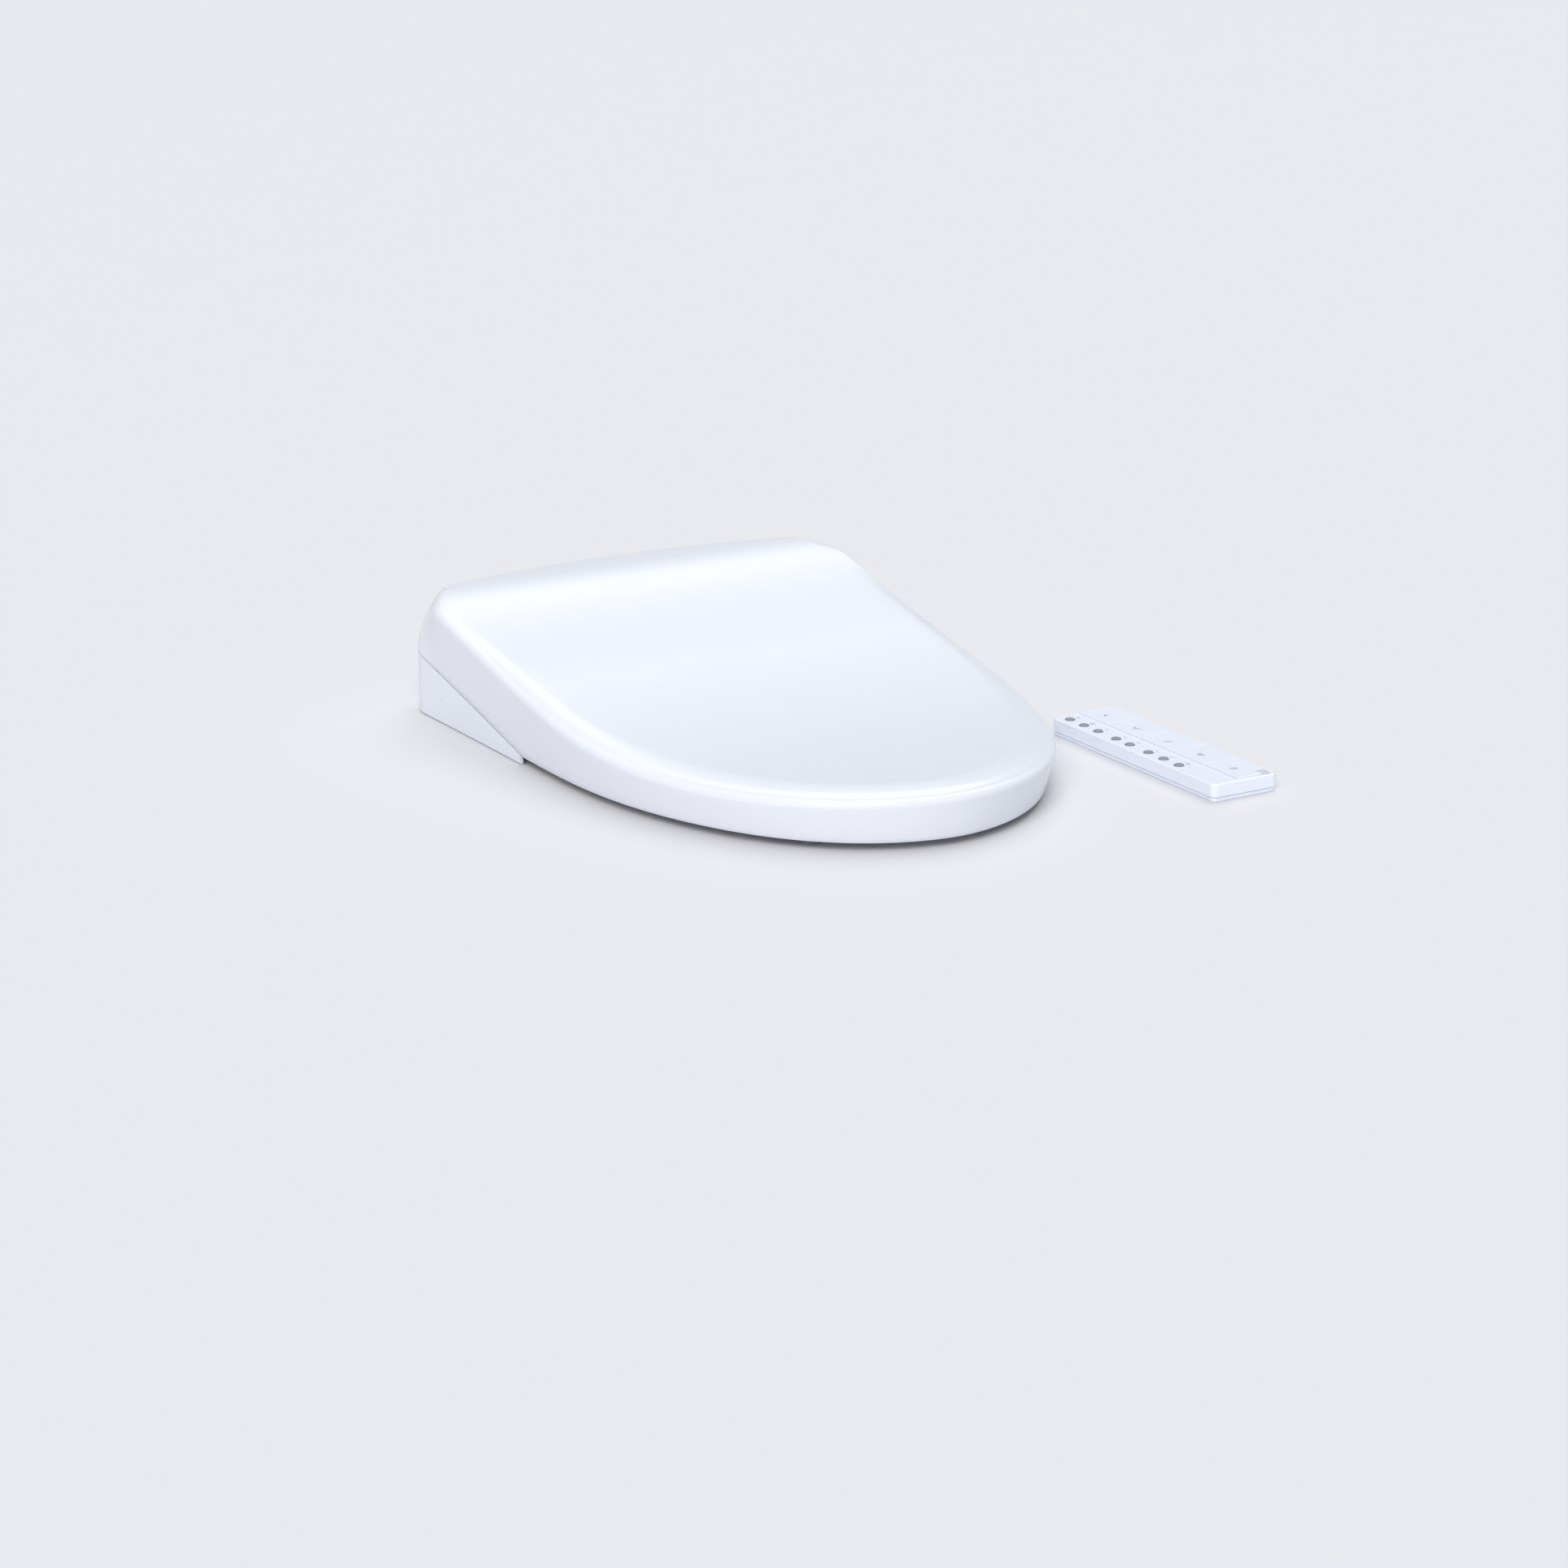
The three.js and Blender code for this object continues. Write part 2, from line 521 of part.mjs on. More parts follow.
function nozzleParts() {
  const wand = solid(rod(nozzlePoint(0, 0, 0), nozzlePoint(0, NOZZLE_LENGTH, 0), NOZZLE_RADIUS, 20));
  const sprayFlat = nozzleBlock(-4, 4, -2, 12, 4.6, 9);
  add("nozzle_wand", wand.subtract(solid(sprayFlat)), gloss);
  const { half, cheek, start, end, low, cheekTop } = GUIDE;
  let guide = solid(nozzleBlock(-half, half, start, end, low, -NOZZLE_RADIUS - GAP));
  for (const [x0, x1] of [[-half, -cheek], [cheek, half]]) {
    guide = guide.add(solid(nozzleBlock(x0, x1, start, end, low, cheekTop)));
  }
  for (const [y0, y1, top] of GUIDE_LEGS) {
    guide = guide.add(solid(box(-half, half, y0, y1, FLOOR_HIGH + 0.5, top)));
  }
  add("nozzle_guide", guide, satin);
  const onShaft = (x) => nozzlePoint(x, ROLLER_ALONG, NOZZLE_RADIUS + GAP + ROLLER_RADIUS);
  add("drive_roller", rod(onShaft(-ROLLER_HALF), onShaft(ROLLER_HALF), ROLLER_RADIUS, 24), rubber);
  add("nozzle_motor", rod(onShaft(MOTOR.x0), onShaft(MOTOR.x1), MOTOR.radius, 24), steel);
}

// ---- lid ----
const LUG = [141, 152];
const LID_BUMPER = { x: 70, y: -418, radius: 6 };

// The lid's block before its top is shaped: its sides widen upwards from the lower edge.
function lidBlock(inset) {
  const low = plan(DRAFT + inset);
  const wide = plan(inset);
  const [start, end] = DRAFT_RISES;
  const spread = (y) => THREE.MathUtils.smoothstep(REAR - y, start, end);
  const top = low.map(([x, y], i) => {
    const share = spread(y);
    return [x + (wide[i][0] - x) * share, y + (wide[i][1] - y) * share];
  });
  const levels = [
    () => [0, -200, -60],
    (i) => [...low[i], partingHeight(low[i][1]) - 8],
    (i) => [...low[i], partingHeight(low[i][1])],
    (i) => [...top[i], crownHeight(Math.min(low[i][1], 10)) - 9],
    (i) => [...top[i], 130],
    () => [0, -200, 140],
  ];
  const draw = (u, v, target) => {
    const level = levels[Math.round(v * (levels.length - 1))];
    target.set(...level(Math.round(u * low.length) % low.length));
  };
  return new ParametricGeometry(draw, low.length, levels.length - 1);
}

function lidParts() {
  const outer = solid(lidBlock(0)).intersect(solid(sidePrism(lidProfile(0, 0), -195, 195)));
  const innerProfile = solid(sidePrism(lidProfile(WALL, 8), -195, 195));
  const inner = solid(lidBlock(WALL)).intersect(innerProfile);
  let lid = outer.subtract(inner);
  const lug = [
    [HINGE_Y - 8, LID_TOP - WALL / 2 - 1],
    [HINGE_Y - 8, HINGE_Z],
    [HINGE_Y + 8, HINGE_Z],
    [HINGE_Y + 8, LID_TOP - WALL / 2 - 2.5],
  ];
  for (const side of [-1, 1]) {
    lid = lid.add(solid(sidePlate(side, ...LUG, lug)));
    lid = lid.add(solid(crossBar(side, ...LUG, HINGE_Y, HINGE_Z, BOSS_RADIUS)));
    lid = lid.subtract(solid(crossBar(side, LUG[0] - 1, LUG[1] + 1, HINGE_Y, HINGE_Z, PIN_HOLE)));
  }
  add("lid", lid, gloss);
  const { y, radius } = LID_BUMPER;
  const bumperTop = crownHeight(y) - WALL - 1;
  for (const [name, x] of [["left", -LID_BUMPER.x], ["right", LID_BUMPER.x]]) {
    add(`lid_bumper_${name}`, rod([x, y, SEAT_TOP + 0.5], [x, y, bumperTop], radius), rubber);
  }
}

// ---- seat ----
const SEAT_CORNER = 12; // the cut at the seat's rear corners
const SEAT_EDGE = 4; // rounding of the seat's edges
const SEAT_BUMPERS = {
  rear_left: [-140, -190],
  rear_right: [140, -190],
  front_left: [-88, -400],
  front_right: [88, -400],
};

function seatShape(inset) {
  // The plan runs down the left-hand side, round the nose and back up the right-hand side.
  const edge = plan(SEAT_INSET + inset).filter(([, y]) => y < SEAT_REAR - 20);
  const half = REAR_HALF_WIDTH - SEAT_INSET - inset;
  const rear = SEAT_REAR - inset;
  const shape = shapeOf([
    [-half + SEAT_CORNER, rear],
    [-half, rear - SEAT_CORNER],
    ...edge,
    [half, rear - SEAT_CORNER],
    [half - SEAT_CORNER, rear],
  ]);
  const middle = (OPENING_REAR + OPENING_FRONT) / 2;
  const halfLength = (OPENING_REAR - OPENING_FRONT) / 2 + inset;
  const hole = Array.from({ length: 36 }, (_, i) => {
    const turn = (2 * Math.PI * i) / 36;
    const widen = 0.9 + 0.1 * Math.sin(turn);
    const x = (OPENING_HALF + inset) * Math.cos(turn) * widen;
    return new THREE.Vector2(x, middle + halfLength * Math.sin(turn));
  });
  shape.holes.push(new THREE.Path(hole));
  return shape;
}

function seatParts() {
  const round = {
    depth: SEAT_TOP - SEAT_LOW - SEAT_EDGE,
    bevelThickness: SEAT_EDGE,
    bevelSize: SEAT_EDGE,
    bevelSegments: 2,
  };
  const body = new THREE.ExtrudeGeometry(seatShape(SEAT_EDGE), round).translate(0, 0, SEAT_LOW);
  const under = solid(box(-200, 200, -500, 0, SEAT_LOW, SEAT_TOP));
  let seat = solid(body).intersect(under);
  seat = seat.subtract(solid(prism(seatShape(7), SEAT_LOW - 1, SEAT_TOP - 3)));
  const arm = [
    [HINGE_Y, HINGE_Z - BOSS_RADIUS],
    [HINGE_Y, HINGE_Z + BOSS_RADIUS],
    [15, 79],
    [-60, 57],
    [-118, 29],
    [-133, 29],
    [-133, SEAT_LOW],
    [-118, SEAT_LOW],
    [-60, 40],
    [15, 62],
  ];
  for (const side of [-1, 1]) {
    seat = seat.add(solid(sidePlate(side, ARM_INNER, ARM_OUTER, arm)));
    seat = seat.add(solid(crossBar(side, ARM_INNER, ARM_OUTER, HINGE_Y, HINGE_Z, BOSS_RADIUS)));
    const bore = crossBar(side, ARM_INNER - 1, ARM_OUTER + 1, HINGE_Y, HINGE_Z, PIN_HOLE);
    seat = seat.subtract(solid(bore));
  }
  add("seat_top", seat, gloss);
  add("seat_underside", prism(seatShape(1), SEAT_PLATE_LOW, SEAT_LOW - GAP), gloss);
  add("seat_heater", prism(seatShape(8.4), 22, 23.5), steel);
  for (const [place, [x, y]] of Object.entries(SEAT_BUMPERS)) {
    add(`seat_bumper_${place}`, rod([x, y, 0], [x, y, SEAT_PLATE_LOW - GAP], FOOT_RADIUS, 20), rubber);
  }
}

// ---- remote control, lying on its back beside the seat with its right-hand end forward ----
const KEY_COUNT = 5;
const KEY_START = 2.4;
const KEY_PITCH = 40.8;
const KEY_WIDTH = 40;
const KEY_ROW = [24, 56]; // across the remote, from its lower edge
const SMALL_KEYS = [13.5, 32.2, 50.9, 74.5, 92.2, 116, 135.2, 154.4]; // along it, from its left end
const SMALL_KEY_ROW = 8.2;
const SMALL_KEY_RADIUS = 3.7;
const LAMP = { along: [199, 206], across: [46, 53] };

function remoteBox(along, across, z0, z1) {
  const y0 = REMOTE_LEFT - along[1];
  const y1 = REMOTE_LEFT - along[0];
  return box(REMOTE_BOTTOM + across[0], REMOTE_BOTTOM + across[1], y0, y1, z0, z1);
}

function remoteDisc(along, across, z0, z1, radius) {
  const [x, y] = [REMOTE_BOTTOM + across, REMOTE_LEFT - along];
  return rod([x, y, z0], [x, y, z1], radius, 20);
}

function remoteParts() {
  const whole = [0, REMOTE_LENGTH];
  let shell = solid(remoteBox(whole, [0, REMOTE_WIDTH], REMOTE_BACK, REMOTE_FACE));
  const lampPocket = remoteBox(LAMP.along, LAMP.across, KEY_FLOOR, 20);
  for (let i = 0; i < KEY_COUNT; i++) {
    const start = KEY_START + KEY_PITCH * i;
    const pocket = remoteBox([start - 0.3, start + KEY_WIDTH + 0.3], [KEY_ROW[0] - 0.3, KEY_ROW[1] + 0.3],
      KEY_FLOOR, 20);
    shell = shell.subtract(solid(pocket));
    let key = solid(remoteBox([start, start + KEY_WIDTH], KEY_ROW, KEY_LOW, REMOTE_FACE + 1.5));
    if (i === KEY_COUNT - 1) {
      const corner = remoteBox([LAMP.along[0] - 0.5, LAMP.along[1] + 8], [LAMP.across[0] - 0.5, 60], 0, 20);
      key = key.subtract(solid(corner));
    }
    add(`remote_key_${i + 1}`, key, keyWhite);
  }
  for (const [i, along] of SMALL_KEYS.entries()) {
    const hole = remoteDisc(along, SMALL_KEY_ROW, KEY_FLOOR, 20, SMALL_KEY_RADIUS + 0.4);
    shell = shell.subtract(solid(hole));
    const key = remoteDisc(along, SMALL_KEY_ROW, KEY_LOW, REMOTE_FACE + 1, SMALL_KEY_RADIUS);
    add(`remote_small_key_${i + 1}`, key, keyGrey);
  }
  const lampPost = remoteBox(
    [LAMP.along[0], LAMP.along[1]], [LAMP.across[0], LAMP.across[1]], KEY_FLOOR - 1, REMOTE_FACE,
  );
  shell = shell.add(solid(lampPost));
  add("remote_case", shell, keyWhite);
  const [low, high] = [REMOTE_FACE + GAP, REMOTE_FACE + 1];
  add("remote_lamp", remoteBox(LAMP.along, LAMP.across, low, high), hosePlastic);
  const back = remoteBox([1, REMOTE_LENGTH - 1], [1, REMOTE_WIDTH - 1], 0, REMOTE_BACK - GAP);
  add("remote_back", back, keyWhite);
}

mountingPlate();
baseTray();
releaseButton();
feetAndDrain();
topCasing();
hingePins();
waterParts();
powerParts();
dryerParts();
nozzleParts();
lidParts();
seatParts();
remoteParts();

export default group;
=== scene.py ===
"""The looks of an electric bidet seat with its remote control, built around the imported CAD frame."""

import json
import math

import bmesh
import bpy
from mathutils import Matrix, Vector


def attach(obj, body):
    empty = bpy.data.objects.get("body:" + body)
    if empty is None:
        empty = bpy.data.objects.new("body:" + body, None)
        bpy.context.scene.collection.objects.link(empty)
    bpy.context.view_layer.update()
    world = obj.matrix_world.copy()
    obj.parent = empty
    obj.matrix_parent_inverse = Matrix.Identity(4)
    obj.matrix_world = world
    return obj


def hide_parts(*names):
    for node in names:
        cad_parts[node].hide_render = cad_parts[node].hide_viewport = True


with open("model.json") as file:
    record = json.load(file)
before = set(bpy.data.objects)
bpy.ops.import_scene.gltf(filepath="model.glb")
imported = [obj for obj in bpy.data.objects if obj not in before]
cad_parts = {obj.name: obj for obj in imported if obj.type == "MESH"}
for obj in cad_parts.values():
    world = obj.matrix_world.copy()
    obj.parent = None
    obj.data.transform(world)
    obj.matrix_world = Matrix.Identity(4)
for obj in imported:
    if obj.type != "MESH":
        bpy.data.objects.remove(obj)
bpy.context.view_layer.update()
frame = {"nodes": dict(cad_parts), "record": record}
MM = 0.001

# ---- camera: the photograph's viewing angle ----
CAMERA_PLACE = Vector((-1.4389, -2.6024, 0.8531))
CAMERA_AZIMUTH = math.radians(-31.107)
CAMERA_ELEVATION = math.radians(17.414)
CAMERA_LENS = 87.47


def make_camera():
    data = bpy.data.cameras.new("camera")
    data.lens = CAMERA_LENS
    data.sensor_width = 36
    data.clip_end = 1000
    camera = bpy.data.objects.new("camera", data)
    camera.location = CAMERA_PLACE
    camera.rotation_euler = (math.pi / 2 - CAMERA_ELEVATION, 0, CAMERA_AZIMUTH)
    bpy.context.scene.collection.objects.link(camera)
    bpy.context.scene.camera = camera


make_camera()

# ---- driving dimensions, in millimetres ----
# the plan outline, with lengths along the seat counted from the rear
REAR = 70
BOW = 7
LENGTH = 540.5
REAR_HALF = 190.1
FRONT_HALF = 187.4
NOSE_START = 234.4
NOSE_P = 2.413
NOSE_Q = 1.868
NOSE_TRIM = (0.0074, 0.0058)
CORNER = 37.5
REAR_STEPS, CORNER_STEPS, SIDE_STEPS, NOSE_STEPS = 16, 18, 22, 60
# the lid's height, wall and soft band, and the line where it meets the tray
DRAFT = 6.85
WALL = 3
LID_EDGE = 6.9
LID_TOP = 100.95
PARTING_START = 204
PARTING_SLOPE = 0.243
BAND_WIDTH = (11, 26)
BAND_RISE = 4.5
# the line that the lid and the seat turn about
HINGE = Vector((0, 40, 72))


# ---- small maths ----
def smoothstep(low, high, value):
    """Rises softly from 0 at low to 1 at high."""
    share = min(1, max(0, (value - low) / (high - low)))
    return share * share * (3 - 2 * share)


def mix(a, b, share):
    """What lies at a share of the way from a to b."""
    return a + (b - a) * share


def natural_spline(knots):
    """The natural cubic through the knots, as a function that is straight beyond them."""
    xs, ys = zip(*knots)
    count = len(xs)
    gaps = [xs[i + 1] - xs[i] for i in range(count - 1)]
    slopes = [(ys[i + 1] - ys[i]) / gaps[i] for i in range(count - 1)]
    diagonal, right = [1.0], [0.0]
    for i in range(1, count - 1):
        known = gaps[i - 1] / diagonal[-1] if i > 1 else 0
        right.append(6 * (slopes[i] - slopes[i - 1]) - known * right[-1])
        diagonal.append(2 * (gaps[i - 1] + gaps[i]) - known * gaps[i - 1])
    bends = [0.0] * count
    for i in range(count - 2, 0, -1):
        bends[i] = (right[i] - gaps[i] * bends[i + 1]) / diagonal[i]

    def value(x):
        i = max(0, min(count - 2, sum(x >= knot for knot in xs) - 1))
        a, b = xs[i + 1] - x, x - xs[i]
        gap = gaps[i]
        if x < xs[0] or x > xs[-1]:
            edge = 0 if x < xs[0] else -1
            end = slopes[edge] - bends[1] * gap / 6 if edge == 0 else slopes[edge] + bends[-2] * gap / 6
            return ys[edge] + end * (x - xs[edge])
        curve = (bends[i] * a**3 + bends[i + 1] * b**3) / (6 * gap)
        left = (ys[i] / gap - bends[i] * gap / 6) * a
        return curve + left + (ys[i + 1] / gap - bends[i + 1] * gap / 6) * b

    return value


shoulder = natural_spline([(60, 98.6), (150, 76.1), (260, 53.2), (380, 39.4), (535, 40.8)])


def band_rise(from_rear):
    """How far the soft band rises from the lid's edge to its top."""
    return BAND_RISE * smoothstep(80, 220, from_rear)


def top_height(from_rear):
    """The height of the lid's top surface, which is level across the lid and level towards the rear."""
    over = shoulder(from_rear) + band_rise(from_rear) - LID_TOP
    return LID_TOP + min(0, over) - math.log1p(math.exp(-abs(over)))


def edge_height(from_rear):
    """The height of the lid's edge, outside its soft band."""
    return top_height(from_rear) - band_rise(from_rear)


def parting_height(from_rear):
    """The height of the lid's lower edge, which the tray's wall follows."""
    return LID_EDGE + PARTING_SLOPE * max(0, PARTING_START - from_rear)


# ---- the plan outline ----
def resampled(points, count):
    """count + 1 points spread evenly along a line of points."""
    lengths = [0.0]
    for a, b in zip(points, points[1:]):
        lengths.append(lengths[-1] + (Vector(b) - Vector(a)).length)
    out, at = [], 0
    for i in range(count + 1):
        target = lengths[-1] * i / count
        while at < len(points) - 2 and lengths[at + 1] < target:
            at += 1
        share = (target - lengths[at]) / max(1e-9, lengths[at + 1] - lengths[at])
        out.append(tuple(mix(Vector(points[at]), Vector(points[at + 1]), min(1, share))))
    return out


def half_outline():
    """The right-hand half of the plan outline, from the rear's middle to the tip of the nose."""
    centre = REAR_HALF - CORNER
    dense = 200
    rear = [(centre * i / dense, REAR + BOW * (1 - (i / dense) ** 2)) for i in range(dense + 1)]
    corner = []
    for i in range(dense + 1):
        turn = math.pi / 2 * (1 - i / dense)
        corner.append((centre + CORNER * math.cos(turn), REAR - CORNER + CORNER * math.sin(turn)))
    side = []
    for i in range(dense + 1):
        share = 1 - i / dense
        x = FRONT_HALF + (REAR_HALF - FRONT_HALF) * share**2
        side.append((x, REAR - NOSE_START + (NOSE_START - CORNER) * share))
    nose = []
    for i in range(dense * 2 + 1):
        along = i / (dense * 2)
        u = math.sin(math.pi / 2 * along)
        trim = 1 - NOSE_TRIM[0] * math.sin(2 * math.pi * along) + NOSE_TRIM[1] * math.sin(3 * math.pi * along)
        x = FRONT_HALF * max(0, 1 - u**NOSE_P) ** (1 / NOSE_Q) * trim
        nose.append((x, REAR - NOSE_START - u * (LENGTH - NOSE_START)))
    half = resampled(rear, REAR_STEPS)
    for part, count in ((corner, CORNER_STEPS), (side, SIDE_STEPS), (nose, NOSE_STEPS)):
        half += resampled(part, count)[1:]
    return half


def full_outline():
    """(point, inward normal) all round, from the rear's middle down the right-hand side and back."""
    half = half_outline()
    points = [Vector(p) for p in half] + [Vector((-x, y)) for x, y in half[-2:0:-1]]
    count = len(points)
    out = []
    for i, p in enumerate(points):
        along = points[(i + 1) % count] - points[i - 1]
        inward = Vector((along.y, -along.x)).normalized()
        out.append((p, inward))
    return out


OUTLINE = full_outline()


# ---- mesh helpers ----
def new_object(name, mesh):
    obj = bpy.data.objects.new(name, mesh)
    bpy.context.scene.collection.objects.link(obj)
    return obj


def build(name, vertices, faces, smooth_angle=40):
    """An object from points in millimetres and its faces, smooth apart from its sharp edges."""
    mesh = bpy.data.meshes.new(name)
    mesh.from_pydata([Vector(v) * MM for v in vertices], [], faces)
    mesh.validate()
    obj = new_object(name, mesh)
    finish_mesh(obj, smooth_angle)
    return obj


def shade(obj, smooth_angle):
    """Smooth shading, apart from the edges that turn more sharply than an angle in degrees."""
    obj.data.shade_smooth()
    obj.data.set_sharp_from_angle(angle=math.radians(smooth_angle))


def finish_mesh(obj, smooth_angle=40):
    """Merges matching points, turns every face outwards and shades the mesh."""
    bm = bmesh.new()
    bm.from_mesh(obj.data)
    bmesh.ops.remove_doubles(bm, verts=bm.verts, dist=1e-6)
    bmesh.ops.recalc_face_normals(bm, faces=bm.faces)
    bm.to_mesh(obj.data)
    bm.free()
    shade(obj, smooth_angle)


def ring_faces(rings, count, closed_rings=False):
    """Quads between rings of count points each."""
    faces = []
    last = rings if closed_rings else rings - 1
    for ring in range(last):
        a, b = ring * count, ((ring + 1) % rings) * count
        for i in range(count):
            j = (i + 1) % count
            faces.append((a + i, a + j, b + j, b + i))
    return faces


def capped_faces(rings, count):
    """Quads between the rings, with a face across the first ring and another across the last."""
    total = rings * count
    return ring_faces(rings, count) + [tuple(range(count)), tuple(range(total - count, total))]


def bevel(obj, width, segments=3, angle=35):
    """Rounds an object's edges."""
    modifier = obj.modifiers.new("rounded", "BEVEL")
    modifier.width = width * MM
    modifier.segments = segments
    modifier.limit_method = "ANGLE"
    modifier.angle_limit = math.radians(angle)
    modifier.harden_normals = True
    return modifier


def apply_modifiers(obj):
    """Turns an object's modifiers into mesh."""
    bpy.context.view_layer.update()
    graph = bpy.context.evaluated_depsgraph_get()
    mesh = bpy.data.meshes.new_from_object(obj.evaluated_get(graph), depsgraph=graph)
    obj.modifiers.clear()
    obj.data = mesh


def join(name, parts):
    """One object from several."""
    bm = bmesh.new()
    for part in parts:
        apply_modifiers(part)
        part.data.transform(part.matrix_world)
        bm.from_mesh(part.data)
        bpy.data.objects.remove(part)
    mesh = bpy.data.meshes.new(name)
    bm.to_mesh(mesh)
    bm.free()
    obj = new_object(name, mesh)
    shade(obj, 40)
    return obj


def round_edges(obj, radius, segments):
    """Rounds the edges of a helper shape and keeps the result as mesh."""
    if radius:
        bevel(obj, radius, segments)
        apply_modifiers(obj)
        shade(obj, 50)
    return obj


def block(name, low, high, radius=0, segments=3):
    """A block with rounded edges, from its lowest to its highest corner, in millimetres."""
    corners = [(x, y, z) for x in (low[0], high[0]) for y in (low[1], high[1]) for z in (low[2], high[2])]
    faces = [(0, 1, 3, 2), (4, 6, 7, 5), (0, 4, 5, 1), (2, 3, 7, 6), (0, 2, 6, 4), (1, 5, 7, 3)]
    return round_edges(build(name, corners, faces), radius, segments)


def lathe(name, profile, start, axis, steps=48, smooth_angle=35):
    """A turned shape: its profile is (distance along the axis, radius), in millimetres."""
    axis = Vector(axis).normalized()
    side = axis.orthogonal().normalized()
    other = axis.cross(side)
    vertices = []
    for along, radius in profile:
        for i in range(steps):
            turn = 2 * math.pi * i / steps
            out = side * math.cos(turn) + other * math.sin(turn)
            vertices.append(Vector(start) + axis * along + out * max(radius, 0.001))
    return build(name, vertices, capped_faces(len(profile), steps), smooth_angle)


def side_plate(name, outline, x0, x1, radius=0, segments=3):
    """A plate with a side outline in y and z, from x0 to x1."""
    vertices = [(x0, y, z) for y, z in outline] + [(x1, y, z) for y, z in outline]
    return round_edges(build(name, vertices, capped_faces(2, len(outline))), radius, segments)


def cut(obj, *cutters):
    """Takes the cutters away from an object."""
    for cutter in cutters:
        modifier = obj.modifiers.new("cut", "BOOLEAN")
        modifier.object = cutter
        modifier.operation = "DIFFERENCE"
        modifier.solver = "EXACT"
        apply_modifiers(obj)
        bpy.data.objects.remove(cutter)
    shade(obj, 40)
    return obj


def piece(obj, body, material, slot, *replaced):
    """Gives a piece its body and its material, and hides the CAD nodes that it stands for. The slot is not
    used.
    """
    obj.data.materials.clear()
    obj.data.materials.append(material)
    if body != "lid":
        even = obj.modifiers.new("even shading", "WEIGHTED_NORMAL")
        even.keep_sharp = True
    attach(obj, body)
    if replaced:
        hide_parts(*replaced)
    return obj


# ---- materials ----
def srgb(r, g, b):
    """A colour as Blender wants it, from its values out of 255."""
    def linear(c):
        c = c / 255
        return c / 12.92 if c <= 0.04045 else ((c + 0.055) / 1.055) ** 2.4

    return (linear(r), linear(g), linear(b), 1)


def shaded(colour, factor):
    """A colour made lighter or darker."""
    return (*(min(1, c * factor) for c in colour[:3]), 1)


def plastic(name, colour, roughness, coat=0.0, grain=900, bump=0.02, spread=0.02, wear=0.05, sheen=0.5):
    """Moulded plastic: a faint cloudiness, a fine moulded grain and uneven polish."""
    material = bpy.data.materials.new(name)
    material.use_nodes = True
    nodes, links = material.node_tree.nodes, material.node_tree.links
    shader = nodes["Principled BSDF"]
    shader.inputs["Specular IOR Level"].default_value = sheen
    shader.inputs["Coat Weight"].default_value = coat
    shader.inputs["Coat Roughness"].default_value = 0.08
    place = nodes.new("ShaderNodeTexCoord")
    cloud = nodes.new("ShaderNodeTexNoise")
    cloud.inputs["Scale"].default_value = 9
    cloud.inputs["Detail"].default_value = 4
    links.new(place.outputs["Object"], cloud.inputs["Vector"])
    tint = nodes.new("ShaderNodeMix")
    tint.data_type = "RGBA"
    tint.inputs[6].default_value = shaded(colour, 1 - spread)
    tint.inputs[7].default_value = shaded(colour, 1 + spread)
    links.new(cloud.outputs["Fac"], tint.inputs[0])
    links.new(tint.outputs[2], shader.inputs["Base Color"])
    smudge = nodes.new("ShaderNodeTexNoise")
    smudge.inputs["Scale"].default_value = 35
    smudge.inputs["Detail"].default_value = 2
    links.new(place.outputs["Object"], smudge.inputs["Vector"])
    polish = nodes.new("ShaderNodeMapRange")
    polish.inputs["To Min"].default_value = max(0.02, roughness - wear)
    polish.inputs["To Max"].default_value = roughness + wear
    links.new(smudge.outputs["Fac"], polish.inputs["Value"])
    links.new(polish.outputs["Result"], shader.inputs["Roughness"])
    fine = nodes.new("ShaderNodeTexNoise")
    fine.inputs["Scale"].default_value = grain
    fine.inputs["Detail"].default_value = 3
    links.new(place.outputs["Object"], fine.inputs["Vector"])
    raised = nodes.new("ShaderNodeBump")
    raised.inputs["Strength"].default_value = bump
    raised.inputs["Distance"].default_value = 0.0003
    links.new(fine.outputs["Fac"], raised.inputs["Height"])
    links.new(raised.outputs["Normal"], shader.inputs["Normal"])
    return material


